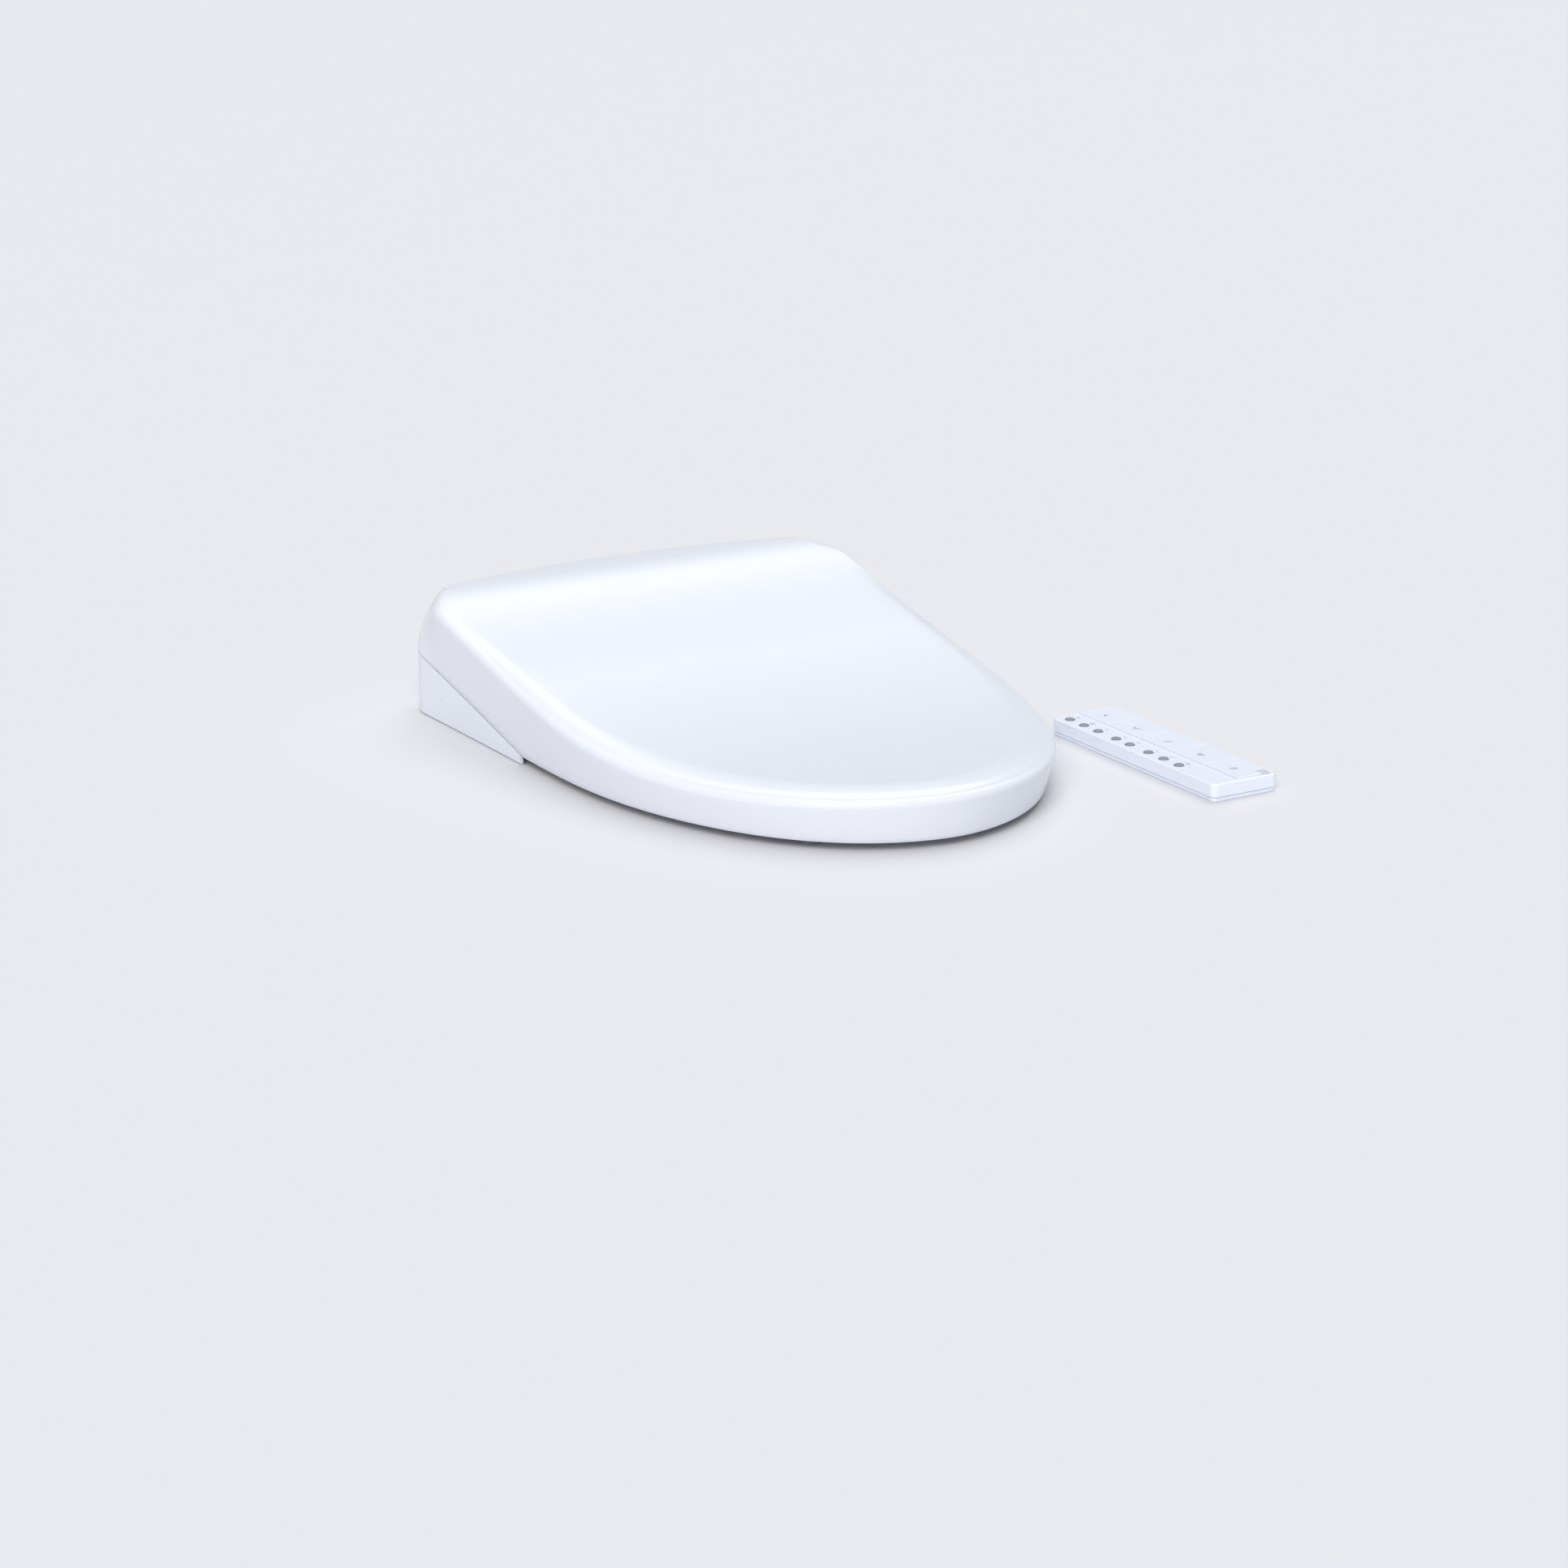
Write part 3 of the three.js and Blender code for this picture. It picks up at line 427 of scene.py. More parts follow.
def metal(name, colour, roughness, stretch=(4, 4, 400)):
    """Brushed metal: fine scratches along one way, with some tarnish."""
    material = bpy.data.materials.new(name)
    material.use_nodes = True
    nodes, links = material.node_tree.nodes, material.node_tree.links
    shader = nodes["Principled BSDF"]
    shader.inputs["Metallic"].default_value = 1
    place = nodes.new("ShaderNodeTexCoord")
    scale = nodes.new("ShaderNodeMapping")
    scale.inputs["Scale"].default_value = stretch
    links.new(place.outputs["Object"], scale.inputs["Vector"])
    scratches = nodes.new("ShaderNodeTexNoise")
    scratches.inputs["Scale"].default_value = 12
    scratches.inputs["Detail"].default_value = 6
    links.new(scale.outputs["Vector"], scratches.inputs["Vector"])
    tint = nodes.new("ShaderNodeMix")
    tint.data_type = "RGBA"
    tint.inputs[6].default_value = shaded(colour, 0.82)
    tint.inputs[7].default_value = shaded(colour, 1.08)
    links.new(scratches.outputs["Fac"], tint.inputs[0])
    links.new(tint.outputs[2], shader.inputs["Base Color"])
    polish = nodes.new("ShaderNodeMapRange")
    polish.inputs["To Min"].default_value = roughness * 0.7
    polish.inputs["To Max"].default_value = roughness * 1.4
    links.new(scratches.outputs["Fac"], polish.inputs["Value"])
    links.new(polish.outputs["Result"], shader.inputs["Roughness"])
    raised = nodes.new("ShaderNodeBump")
    raised.inputs["Strength"].default_value = 0.08
    raised.inputs["Distance"].default_value = 0.0002
    links.new(scratches.outputs["Fac"], raised.inputs["Height"])
    links.new(raised.outputs["Normal"], shader.inputs["Normal"])
    return material


def circuit(name):
    """A green lacquered board with paler copper tracks under the lacquer."""
    material = plastic(name, srgb(38, 98, 62), 0.35, coat=0.3, grain=600)
    nodes, links = material.node_tree.nodes, material.node_tree.links
    place = nodes.new("ShaderNodeTexCoord")
    tracks = nodes.new("ShaderNodeTexBrick")
    tracks.inputs["Color1"].default_value = srgb(36, 92, 58)
    tracks.inputs["Color2"].default_value = srgb(44, 108, 68)
    tracks.inputs["Mortar"].default_value = srgb(116, 148, 92)
    tracks.inputs["Scale"].default_value = 160
    tracks.inputs["Mortar Size"].default_value = 0.03
    links.new(place.outputs["Object"], tracks.inputs["Vector"])
    links.new(tracks.outputs["Color"], nodes["Principled BSDF"].inputs["Base Color"])
    return material


WHITE_GLOSS = plastic(
    "white_gloss", srgb(228, 232, 239), 0.2, grain=500, bump=0.004, spread=0.006, sheen=0.28
)
SIDE_PANEL = plastic(
    "side_panel", srgb(227, 232, 239), 0.28, grain=500, bump=0.004, spread=0.004, wear=0.015, sheen=0.35
)
WHITE_SATIN = plastic("white_satin", srgb(226, 229, 235), 0.42, grain=1500, bump=0.05)
RUBBER = plastic("rubber_grey", srgb(140, 143, 148), 0.8, grain=700, bump=0.15, spread=0.05)
DARK = plastic("dark_plastic", srgb(58, 61, 66), 0.5, grain=1000, bump=0.12, spread=0.05)
STEEL = metal("steel", srgb(190, 193, 197), 0.28)
BOARD = circuit("circuit_board")
HOSE = plastic("hose_plastic", srgb(202, 206, 212), 0.4, grain=500, bump=0.04)
SMOKED = plastic("smoked", srgb(66, 70, 78), 0.12, coat=0.6, grain=900, bump=0.005)
KEY_GREY = plastic("key_grey", srgb(138, 143, 152), 0.4, grain=1500, bump=0.05)
REMOTE_WHITE = plastic(
    "remote_white", srgb(231, 237, 248), 0.34, coat=0.1, grain=1400, bump=0.03, spread=0.008
)

SLOT_MATERIALS = {
    "white_gloss": WHITE_GLOSS, "side_panel": SIDE_PANEL, "white_satin": WHITE_SATIN,
    "rubber_grey": RUBBER, "dark_plastic": DARK, "steel": STEEL, "circuit_board": BOARD,
    "hose_plastic": HOSE, "smoked": SMOKED, "key_grey": KEY_GREY, "remote_white": REMOTE_WHITE,
}


# ---- the lid ----
SKIRT_STEPS = 8
ARC_STEPS = 10
BAND_STEPS = 10
BAND_POWER = 1.6
LID_CORNER = 5
REAR_POWER = 1.3


def front_section(place, inward, from_rear, wall=0.0):
    """Skirt, rounded edge and soft band, as (inset, height) pairs, where the lid isn't at its rear.

    wall is how far the line lies below the outer surface.
    """
    corner = LID_CORNER
    radius = corner - wall
    low = parting_height(from_rear)
    edge = edge_height(from_rear)
    draft = math.atan2(DRAFT, max(5, edge - corner - low))
    width = mix(*BAND_WIDTH, smoothstep(180, 480, from_rear))
    tilt = math.atan(BAND_POWER * band_rise(from_rear) / width)
    out = []
    for i in range(SKIRT_STEPS):
        share = i / SKIRT_STEPS
        end = (corner - radius * math.cos(draft), edge - corner - radius * math.sin(draft))
        out.append((mix(DRAFT + wall, end[0], share), mix(low, end[1], share)))
    for i in range(ARC_STEPS + 1):
        turn = mix(-draft, math.pi / 2 - tilt, i / ARC_STEPS)
        out.append((corner - radius * math.cos(turn), edge - corner + radius * math.sin(turn)))
    start = out[-1]
    for i in range(1, BAND_STEPS + 1):
        share = i / BAND_STEPS
        inset = mix(start[0], corner + width, share)
        local = REAR - (place.y + inward.y * inset)
        height = edge_height(local) + band_rise(local) * (1 - (1 - share) ** BAND_POWER) - wall
        out.append((inset, mix(start[1] + edge_height(local) - edge, height, smoothstep(0, 0.3, share))))
    return out


def rear_section(place, inward, from_rear, wall=0.0):
    """The rounded rear: one full curve from the lower edge to the top."""
    low = parting_height(from_rear)
    facing = max(0, -inward.y)
    across = abs(place.x) / (REAR_HALF - CORNER)
    depth = 14 + 10 * across**2 if across < 1 else 24 + 8 * facing**2 * (1 - facing**2)
    turns = [0.62 * i / SKIRT_STEPS for i in range(SKIRT_STEPS)]
    turns += [mix(0.62, 1.3, i / ARC_STEPS) for i in range(ARC_STEPS + 1)]
    turns += [mix(1.3, math.pi / 2, i / BAND_STEPS) for i in range(1, BAND_STEPS + 1)]
    out = []
    for turn in turns:
        inset = DRAFT + wall + depth * (1 - max(0, math.cos(turn)) ** REAR_POWER)
        top = top_height(REAR - (place.y + inward.y * inset)) - wall
        out.append((inset, low + (top - low) * math.sin(turn) ** REAR_POWER))
    return out


def lid_column(place, inward, wall):
    """One line of the lid's surface, from its lower edge inwards over the rounded edge."""
    from_rear = REAR - place.y
    rearness = 1 - smoothstep(28, 80, from_rear)
    front = front_section(place, inward, max(from_rear, 20), wall)
    rear = rear_section(place, inward, from_rear, wall)
    column = []
    for (d1, z1), (d2, z2) in zip(front, rear):
        spot = place + inward * mix(d1, d2, rearness)
        column.append((spot.x, spot.y, mix(z1, z2, rearness)))
    # the lower edge is rounded
    low = column[0][2]
    column[0] = (column[0][0], column[0][1], low + 0.5)
    turned = place + inward * (DRAFT + (wall - 0.5 if wall else 0.5))
    return [(turned.x, turned.y, low)] + column


def lid_surface(wall):
    """The vertices and faces of the lid's outer surface, or of the one that lies wall inside it."""
    columns = [lid_column(place, inward, wall) for place, inward in OUTLINE]
    rings = list(zip(*columns))
    count = len(OUTLINE)
    vertices = [v for ring in rings for v in ring]
    faces = ring_faces(len(rings), count)
    # the top: rows across the lid between matching points of the last ring
    base = len(vertices) - count
    last = rings[-1]
    half = count // 2
    previous = [base + (count - REAR_STEPS + i) % count for i in range(2 * REAR_STEPS + 1)]
    for i in range(REAR_STEPS + 1, half):
        left, right = base + count - i, base + i
        x, y = last[i][0], last[i][1]
        row = [left]
        for j in range(1, 2 * REAR_STEPS):
            row.append(len(vertices))
            vertices.append((mix(-x, x, j / (2 * REAR_STEPS)), y, top_height(REAR - y) - wall))
        row.append(right)
        faces += [(a, b, d, c) for a, b, c, d in zip(previous, previous[1:], row, row[1:])]
        previous = row
    faces += [(a, b, base + half) for a, b in zip(previous, previous[1:])]
    return vertices, faces


def make_lid():
    """The lid's shell: the outer and the inner surface, joined along the lower edge."""
    outer, outer_faces = lid_surface(0)
    inner, inner_faces = lid_surface(WALL)
    shift = len(outer)
    faces = outer_faces + [tuple(i + shift for i in face) for face in inner_faces]
    count = len(OUTLINE)
    faces += [(i, (i + 1) % count, (i + 1) % count + shift, i + shift) for i in range(count)]
    return build("lid_shell", outer + inner, faces, smooth_angle=60)


def arc(centre, radius, start, end, steps=12):
    """Points on an arc, with its angles in degrees."""
    out = []
    for i in range(steps + 1):
        turn = math.radians(mix(start, end, i / steps))
        out.append((centre[0] + radius * math.cos(turn), centre[1] + radius * math.sin(turn)))
    return out


def softened(points, rounds=2):
    """An open line of points with its corners cut back, so that it runs as a curve."""
    for _ in range(rounds):
        out = [points[0]]
        for a, b in zip(points, points[1:]):
            a, b = Vector(a), Vector(b)
            out += [tuple(mix(a, b, 0.25)), tuple(mix(a, b, 0.75))]
        points = out + [points[-1]]
    return points


def drill(radius, length, start, axis, steps=48):
    """A round cutter."""
    return lathe("hole", [(0, radius), (length, radius)], start, axis, steps)


def pin_hole(x0, x1):
    """A cutter for the hinge pin."""
    return drill(PIN_RADIUS + PIN_CLEARANCE, x1 - x0, (x0, HINGE.y, HINGE.z), (1, 0, 0))


def lid_lug(side):
    """The lug under the lid that turns on the hinge pin."""
    x0, x1 = LID_LUG if side > 0 else (-LID_LUG[1], -LID_LUG[0])
    root = LID_TOP - WALL / 2
    outline = [(HINGE.y - 13, root - 1), (HINGE.y - 9, root - 7)]
    outline += arc((HINGE.y, HINGE.z), BOSS_RADIUS, 180, 360)
    outline += [(HINGE.y + 8, root - 16), (HINGE.y - 4, root - 1.5)]
    lug = side_plate("lug", outline, x0, x1, radius=0.8)
    return cut(lug, pin_hole(x0 - 1, x1 + 1))


PIN_RADIUS = 4
PIN_CLEARANCE = 0.3
BOSS_RADIUS = 8
LID_LUG = (141, 152)
lid = join("lid_shell", [make_lid(), lid_lug(-1), lid_lug(1)])
piece(lid, "lid", WHITE_GLOSS, "white_gloss", "lid")


# ---- base tray ----
TRAY_FRONT = -116
FLOOR_LOW, FLOOR_HIGH = 6, 8.5
WALL_LOW = 0.8
PANEL_END = 204
NOZZLE_GAP = 9.5


def under_lid(y, reach):
    """How high the tray may rise at y below the lid's edge, which turns reach away from the hinge."""
    if y < HINGE.y or y - HINGE.y >= reach:
        return LID_TOP
    return HINGE.z - math.sqrt(reach**2 - (y - HINGE.y) ** 2)


def tray_wall(first, last):
    """The wall along the outline's points from first to last, counted from the rear's middle."""
    chosen = [i for i in range(first, last + 1) if REAR - OUTLINE[i][0].y <= PANEL_END]
    vertices = []
    for i in chosen:
        place, inward = OUTLINE[i]
        outer = place + inward * DRAFT
        inner = place + inward * (DRAFT + WALL)
        parting = parting_height(REAR - place.y) - 1
        reach = math.hypot(outer.y - HINGE.y, HINGE.z - parting - 1)
        top = min(parting, under_lid(outer.y, reach + 1))
        back = min(top, under_lid(inner.y, reach + 1.5))
        section = [(0.7, WALL_LOW), (0.2, WALL_LOW + 0.2), (0, WALL_LOW + 0.7), (0, top - 0.8)]
        section += [(0.2, top - 0.25), (0.7, mix(top, back, 0.2)), (WALL - 0.4, mix(top, back, 0.9))]
        section += [(WALL, back - 0.4), (WALL, WALL_LOW)]
        for inset, height in section:
            spot = place + inward * (DRAFT + inset)
            vertices.append((spot.x, spot.y, max(height, WALL_LOW)))
    size = len(section)
    return build("tray_wall", vertices, capped_faces(len(chosen), size), smooth_angle=30)


def tray_floor():
    """The tray's floor, with the nozzle's gap and the drain hole."""
    edge = [place + inward * (DRAFT + WALL / 2) for place, inward in OUTLINE]
    edge = [p for p in edge if p.y > TRAY_FRONT]
    rear_first = sorted(range(len(edge)), key=lambda i: math.atan2(edge[i].x, edge[i].y + 30))
    edge = [edge[i] for i in rear_first]
    edge += [Vector((edge[-1].x, TRAY_FRONT)), Vector((-edge[-1].x, TRAY_FRONT))]
    count = len(edge)
    vertices = [(p.x, p.y, z) for z in (FLOOR_LOW, FLOOR_HIGH) for p in edge]
    slab = build("tray_floor", vertices, capped_faces(2, count))
    nozzle_gap = block("hole", (-NOZZLE_GAP, -130, 0), (NOZZLE_GAP, -88, 12))
    return cut(slab, nozzle_gap, drill(6.3, 12, (-124, -62, 0), (0, 0, 1)))


def make_tray():
    """The tray: its walls with the openings for the plate, the water, the cable and the button."""
    end, joint = len(OUTLINE) // 3, REAR_STEPS - 2
    openings = [
        block("hole", (-112, 45, -1), (112, 90, 6), 1.5),
        drill(9.5, 35, (-110, 50, 20), (0, 1, 0)),
        drill(6.5, 35, (112, 50, 19), (0, 1, 0)),
    ]
    rear = cut(tray_wall(-joint, joint), *openings)
    right = cut(tray_wall(joint, end), block("hole", (170, 4, 17), (195, 26, 29), 2))
    parts = [rear, right, tray_wall(-end, -joint), tray_floor()]
    for x in (-105, 102):
        parts.append(block("rib", (x, -60, 1), (x + 3, 55, 6.5), 0.6))
    # small gussets between the floor and each side panel
    for y in (-90, -50, -10, 30):
        top = min(14, parting_height(REAR - y) - 4)
        for side in (-1, 1):
            x0, x1 = sorted((side * 176, side * 180.5))
            parts.append(block("gusset", (x0, y - 1, 8), (x1, y + 1, top), 0.4))
    return join("tray", parts)


piece(make_tray(), "unit", SIDE_PANEL, "side_panel", "base_tray")


def make_release():
    """The release button, with a flange behind the side panel and ribs for the thumb."""
    stem = block("stem", (168.5, 4.5, 17.5), (183.6, 25.5, 28.5), 1.2)
    parts = [stem, block("flange", (168.5, 2, 15), (176, 28, 31), 1)]
    for i in range(4):
        y = 9 + 4 * i
        parts.append(block("rib", (183, y - 0.5, 19.5), (184.2, y + 0.5, 26.5), 0.45))
    return join("release", parts)


piece(make_release(), "release", WHITE_SATIN, "white_satin", "release_button")


# ---- top casing ----
CASING_HALF = 150
CASING_WALL = 2.5
CASING_FRONT = -114
CASING_LOW = 8.8
HUMP_REAR = 8
DECK_TOP = 33
DECK_REAR = 59
BELOW_LID = 9.5
CASING_ROUND = 6
KNUCKLE = (118, 138)


def casing_outline(inset, low, rear):
    """The casing's side outline: a hump that follows the lid, and a low deck behind it."""
    hump = [(-6 * i, top_height(REAR + 6 * i) - BELOW_LID - inset) for i in range(17)]
    front, back = CASING_FRONT + inset, HUMP_REAR - inset
    points = [(front, low), (rear, low), (rear, DECK_TOP - inset), (back, DECK_TOP - inset)]
    nose = softened([hump[-1], (front + 3, 57 - inset), (front, 50 - inset), (front, 40)], 3)
    shoulder_line = softened([(back, 60), (back, hump[0][1] - 1), hump[1]], 3)
    return points + shoulder_line + hump[2:-1] + nose


def casing_knuckle(side):
    """The part of the casing that holds a hinge pin."""
    x0, x1 = KNUCKLE if side > 0 else (-KNUCKLE[1], -KNUCKLE[0])
    outline = [(HUMP_REAR - 1, 54), (HUMP_REAR + 8, 57)] + arc((HINGE.y, HINGE.z), BOSS_RADIUS, -90, 90)
    outline += [(HUMP_REAR + 8, 81), (HUMP_REAR - 1, 80)]
    return cut(side_plate("knuckle", outline, x0, x1, radius=1), pin_hole(x0 - 1, x1 + 1))


def make_casing():
    """The casing: a hollow shell with rounded ends, its openings, louvres and knuckles."""
    ends = []
    for i in range(7):
        turn = math.pi / 2 * i / 6
        ends.append((CASING_HALF - CASING_ROUND * (1 - math.sin(turn)), CASING_ROUND * (1 - math.cos(turn))))
    ends = [(-x, inset) for x, inset in reversed(ends)] + ends
    vertices = []
    for x, inset in ends:
        vertices += [(x, y, z) for y, z in casing_outline(inset, CASING_LOW, DECK_REAR)]
    shell = build("casing", vertices, capped_faces(len(ends), len(vertices) // len(ends)), 40)
    hollow_half = CASING_HALF - CASING_WALL
    hollow_outline = casing_outline(CASING_WALL, CASING_LOW - 6, DECK_REAR + 8)
    openings = [
        side_plate("hollow", hollow_outline, -hollow_half, hollow_half),
        block("hole", (-NOZZLE_GAP, -130, 0), (NOZZLE_GAP, -100, 22), 3),
        block("hole", (34, -130, 16), (60, -108, 30), 2),
        block("hole", (-72, -130, 32), (-50, -108, 42), 2),
    ]
    shell = cut(shell, *openings)
    parts = [shell, casing_knuckle(-1), casing_knuckle(1)]
    for i in range(4):
        x = 39.2 + 5.2 * i
        low, high = (x - 0.5, CASING_FRONT + 0.2, 15.5), (x + 0.5, CASING_FRONT + 2.2, 30.5)
        parts.append(block("louvre", low, high, 0.3))
    # ribs that the seat rests against when it is down
    for x in (-122, 122):
        parts.append(block("rest", (x - 10, -104, 59), (x + 10, -98, 61.5), 1))
    return join("casing", parts)


piece(make_casing(), "unit", WHITE_GLOSS, "white_gloss", "top_casing")


# ---- seat ring ----
SEAT_INSET = 14
SEAT_REAR = -127
SEAT_LOW, SEAT_TOP = 14, 30
OPENING_MIDDLE = -277.5
OPENING_HALF = (105, 132.5)
OPENING_TAPER = 0.1
SEAT_STEPS = 180
ARM = (155, 165)


def seat_edges(inset):
    """Matching points on the seat's outer and inner edges, all round its opening."""
    outer = [place + inward * (SEAT_INSET + inset) for place, inward in OUTLINE]
    half = REAR_HALF - SEAT_INSET - inset - 0.6
    rear = SEAT_REAR - inset
    side = [p for p in outer if p.y < rear - 16]
    right = [p for p in side if p.x >= 0]
    left = [p for p in side if p.x < 0]
    corner = [Vector(p) for p in arc((half - 14, rear - 14), 14, 90, 0, 8)]
    loop = [Vector((-p.x, p.y)) for p in reversed(corner)] + corner + right + left
    middle = Vector((0, OPENING_MIDDLE))
    pairs = []
    for i in range(SEAT_STEPS):
        turn = 2 * math.pi * i / SEAT_STEPS
        ray = Vector((math.cos(turn), math.sin(turn)))
        inner = Vector((
            (OPENING_HALF[0] + inset) * ray.x * (1 - OPENING_TAPER + OPENING_TAPER * ray.y),
            (OPENING_HALF[1] + inset) * ray.y,
        ))
        toward = inner.normalized()
        reach = 0
        for a, b in zip(loop, loop[1:] + loop[:1]):
            a, b = a - middle, b - middle
            cross = toward.x * (b - a).y - toward.y * (b - a).x
            if abs(cross) < 1e-9:
                continue
            distance = (a.x * (b - a).y - a.y * (b - a).x) / cross
            share = (a.x * toward.y - a.y * toward.x) / cross
            if distance > 0 and -1e-6 <= share <= 1 + 1e-6:
                reach = max(reach, distance)
        pairs.append((middle + toward * reach, middle + inner))
    return pairs


def ring_solid(name, inset, section, smooth_angle=50):
    """A ring whose section is (share of the width, millimetres further in, height)."""
    pairs = seat_edges(inset)
    vertices = []
    for share, extra, height in section:
        for outer, inner in pairs:
            across = inner - outer
            spot = mix(outer, inner, share) + across.normalized() * extra * min(1, across.length / 30)
            vertices.append((spot.x, spot.y, height))
    faces = ring_faces(len(section), SEAT_STEPS, closed_rings=True)
    return build(name, vertices, faces, smooth_angle)


def make_seat_top():
    """The seat's upper shell, hollow below, with its two arms to the hinge."""
    edge = 6
    section = [(0, 0, SEAT_LOW)]
    for i in range(7):
        turn = math.pi / 2 * i / 6
        section.append((0, edge * (1 - math.cos(turn)), SEAT_TOP - 0.4 - edge * (1 - math.sin(turn))))
    for i in range(1, 8):
        share = i / 8
        height = SEAT_TOP - 0.4 + 0.4 * math.sin(math.pi * share) - 2.4 * share**2
        section.append((share, edge * (1 - 2 * share), height))
    for i in range(7):
        turn = math.pi / 2 * (1 - i / 6)
        section.append((1, -edge * (1 - math.cos(turn)), SEAT_TOP - 2.8 - edge * (1 - math.sin(turn))))
    section.append((1, 0, SEAT_LOW))
    section += [(1, -2.8, SEAT_LOW), (1, -2.8, SEAT_TOP - 9), (1, -5, SEAT_TOP - 6), (0, 5, SEAT_TOP - 4.5),
                (0, 2.8, SEAT_TOP - 7), (0, 2.8, SEAT_LOW)]
    parts = [ring_solid("seat_ring", 0, section)]
    arm_top = softened([(15, 79), (-60, 57), (-112, 31), (-134, 28.5)], 3)
    arm_low = softened([(-134, 15), (-118, 15), (-60, 40), (15, 62)], 3)
    outline = arc((HINGE.y, HINGE.z), BOSS_RADIUS, -90, 90) + arm_top + arm_low
    for side in (-1, 1):
        x0, x1 = ARM if side > 0 else (-ARM[1], -ARM[0])
        arm = side_plate("arm", outline, x0, x1, radius=1.2)
        parts.append(cut(arm, pin_hole(x0 - 1, x1 + 1)))
    return join("seat_upper", parts)


def make_seat_plate():
    """The plate under the seat, with a shallow groove along both edges."""
    low, high = 10, 13.7
    section = [(0, 0, high), (0, 0, low + 1.6), (0, 0.5, low + 0.5), (0, 1.6, low)]
    section += [(0, 9, low), (0, 9.6, low + 0.7), (0, 11, low + 0.7), (0, 11.6, low)]
    section += [(1, -9.6, low), (1, -9, low + 0.7), (1, -7.6, low + 0.7), (1, -7, low)]
    section += [(1, -1.6, low), (1, -0.5, low + 0.5), (1, 0, low + 1.6), (1, 0, high)]
    return ring_solid("seat_lower", 1, section, smooth_angle=30)


piece(make_seat_top(), "seat", WHITE_GLOSS, "white_gloss", "seat_top")
piece(make_seat_plate(), "seat", WHITE_GLOSS, "white_gloss", "seat_underside")


# ---- nozzle ----
TIP = Vector((0, -112, 8))
NOZZLE_TILT = math.pi / 6
BACK = Vector((0, math.cos(NOZZLE_TILT), math.sin(NOZZLE_TILT)))
UP = Vector((0, -math.sin(NOZZLE_TILT), math.cos(NOZZLE_TILT)))
NOZZLE_RADIUS = 6
NOZZLE_ROUND = 2.2
NOZZLE_LENGTH = 108


def make_nozzle():
    """The wand: a rod with a rounded tip, a flat near it and four spray holes in the flat."""
    radius, edge = NOZZLE_RADIUS, NOZZLE_ROUND
    profile = [(0, 3)]
    for turn in (0.2, 0.5, 0.8, 1.1, 1.35, 1.57):
        profile.append((edge * (1 - math.cos(turn)), radius - edge + edge * math.sin(turn)))
    profile += [(15, radius), (15.2, radius - 0.4), (15.8, radius - 0.4), (16, radius)]
    profile += [(NOZZLE_LENGTH - 1, radius), (NOZZLE_LENGTH, radius - 1)]
    wand = lathe("wand", profile, TIP, BACK)
    flat = block("hole", (-4, -1, 4.7), (4, 12, 9), 1)
    flat.data.transform(Matrix.Translation(TIP * MM) @ Matrix.Rotation(NOZZLE_TILT, 4, "X"))
    holes = [flat]
    for along, across in ((3.6, 0), (6.2, -1.3), (6.2, 1.3), (8.8, 0)):
        start = TIP + BACK * along + UP * 1.5 + Vector((across, 0, 0))
        holes.append(drill(0.55, 6, start, UP, 16))
    return cut(wand, *holes)


piece(make_nozzle(), "nozzle", WHITE_GLOSS, "white_gloss", "nozzle_wand")


# ---- remote control ----
REMOTE_PLACE = (212, -270)
REMOTE_LENGTH, REMOTE_WIDTH = 208, 60
REMOTE_FACE = 14
REMOTE_CORNER = 5
KEY_START, KEY_PITCH, KEY_WIDTH = 2.4, 40.8, 40
KEY_GAP = 0.3
KEY_ROW = (24, 56)
KEY_LOW, KEY_TOP = 9.2, 15.5
SMALL_KEYS = (13.5, 32.2, 50.9, 74.5, 92.2, 116, 135.2, 154.4)
SMALL_KEY_ROW = 8.2
LAMP = (199, 206, 46, 53)


def on_remote(along, across, height):
    """A place on the remote control, measured along it from its left end and across it."""
    return (REMOTE_PLACE[0] + across, REMOTE_PLACE[1] - along, height)


def remote_plate(name, along, across, low, high, corner, edge=0.0, segments=3):
    """A plate with rounded corners and a rounded upper edge."""
    a0, a1 = along
    c0, c1 = across
    outline = []
    for a, c, start in ((a1, c1, 0), (a0, c1, 90), (a0, c0, 180), (a1, c0, 270)):
        centre = (
            a - math.copysign(corner, a - (a0 + a1) / 2),
            c - math.copysign(corner, c - (c0 + c1) / 2),
        )
        outline += arc(centre, corner, start, start + 90, 6)
    rings = [(0, low), (0, high - edge)]
    if edge:
        rings += [(edge * (1 - math.cos(t)), high - edge * (1 - math.sin(t))) for t in
                  (math.pi / 2 * i / segments for i in range(1, segments + 1))]
    middle = Vector(((a0 + a1) / 2, (c0 + c1) / 2))
    half = Vector(((a1 - a0) / 2, (c1 - c0) / 2))
    vertices = []
    for inset, height in rings:
        for p in outline:
            spot = Vector(p) - middle
            spot = Vector((spot.x * (1 - inset / half.x), spot.y * (1 - inset / half.y))) + middle
            vertices.append(on_remote(spot.x, spot.y, height))
    return build(name, vertices, capped_faces(len(rings), len(outline)), smooth_angle=35)


def remote_disc(name, along, across, low, high, radius, edge=0.0):
    """A round plate with a rounded upper edge."""
    profile = [(0, radius), (high - low - edge, radius)]
    if edge:
        profile += [(high - low - edge * (1 - math.sin(t)), radius - edge * (1 - math.cos(t))) for t in
                    (math.pi / 2 * i / 4 for i in range(1, 5))]
    return lathe(name, profile, on_remote(along, across, low), (0, 0, 1), 32)


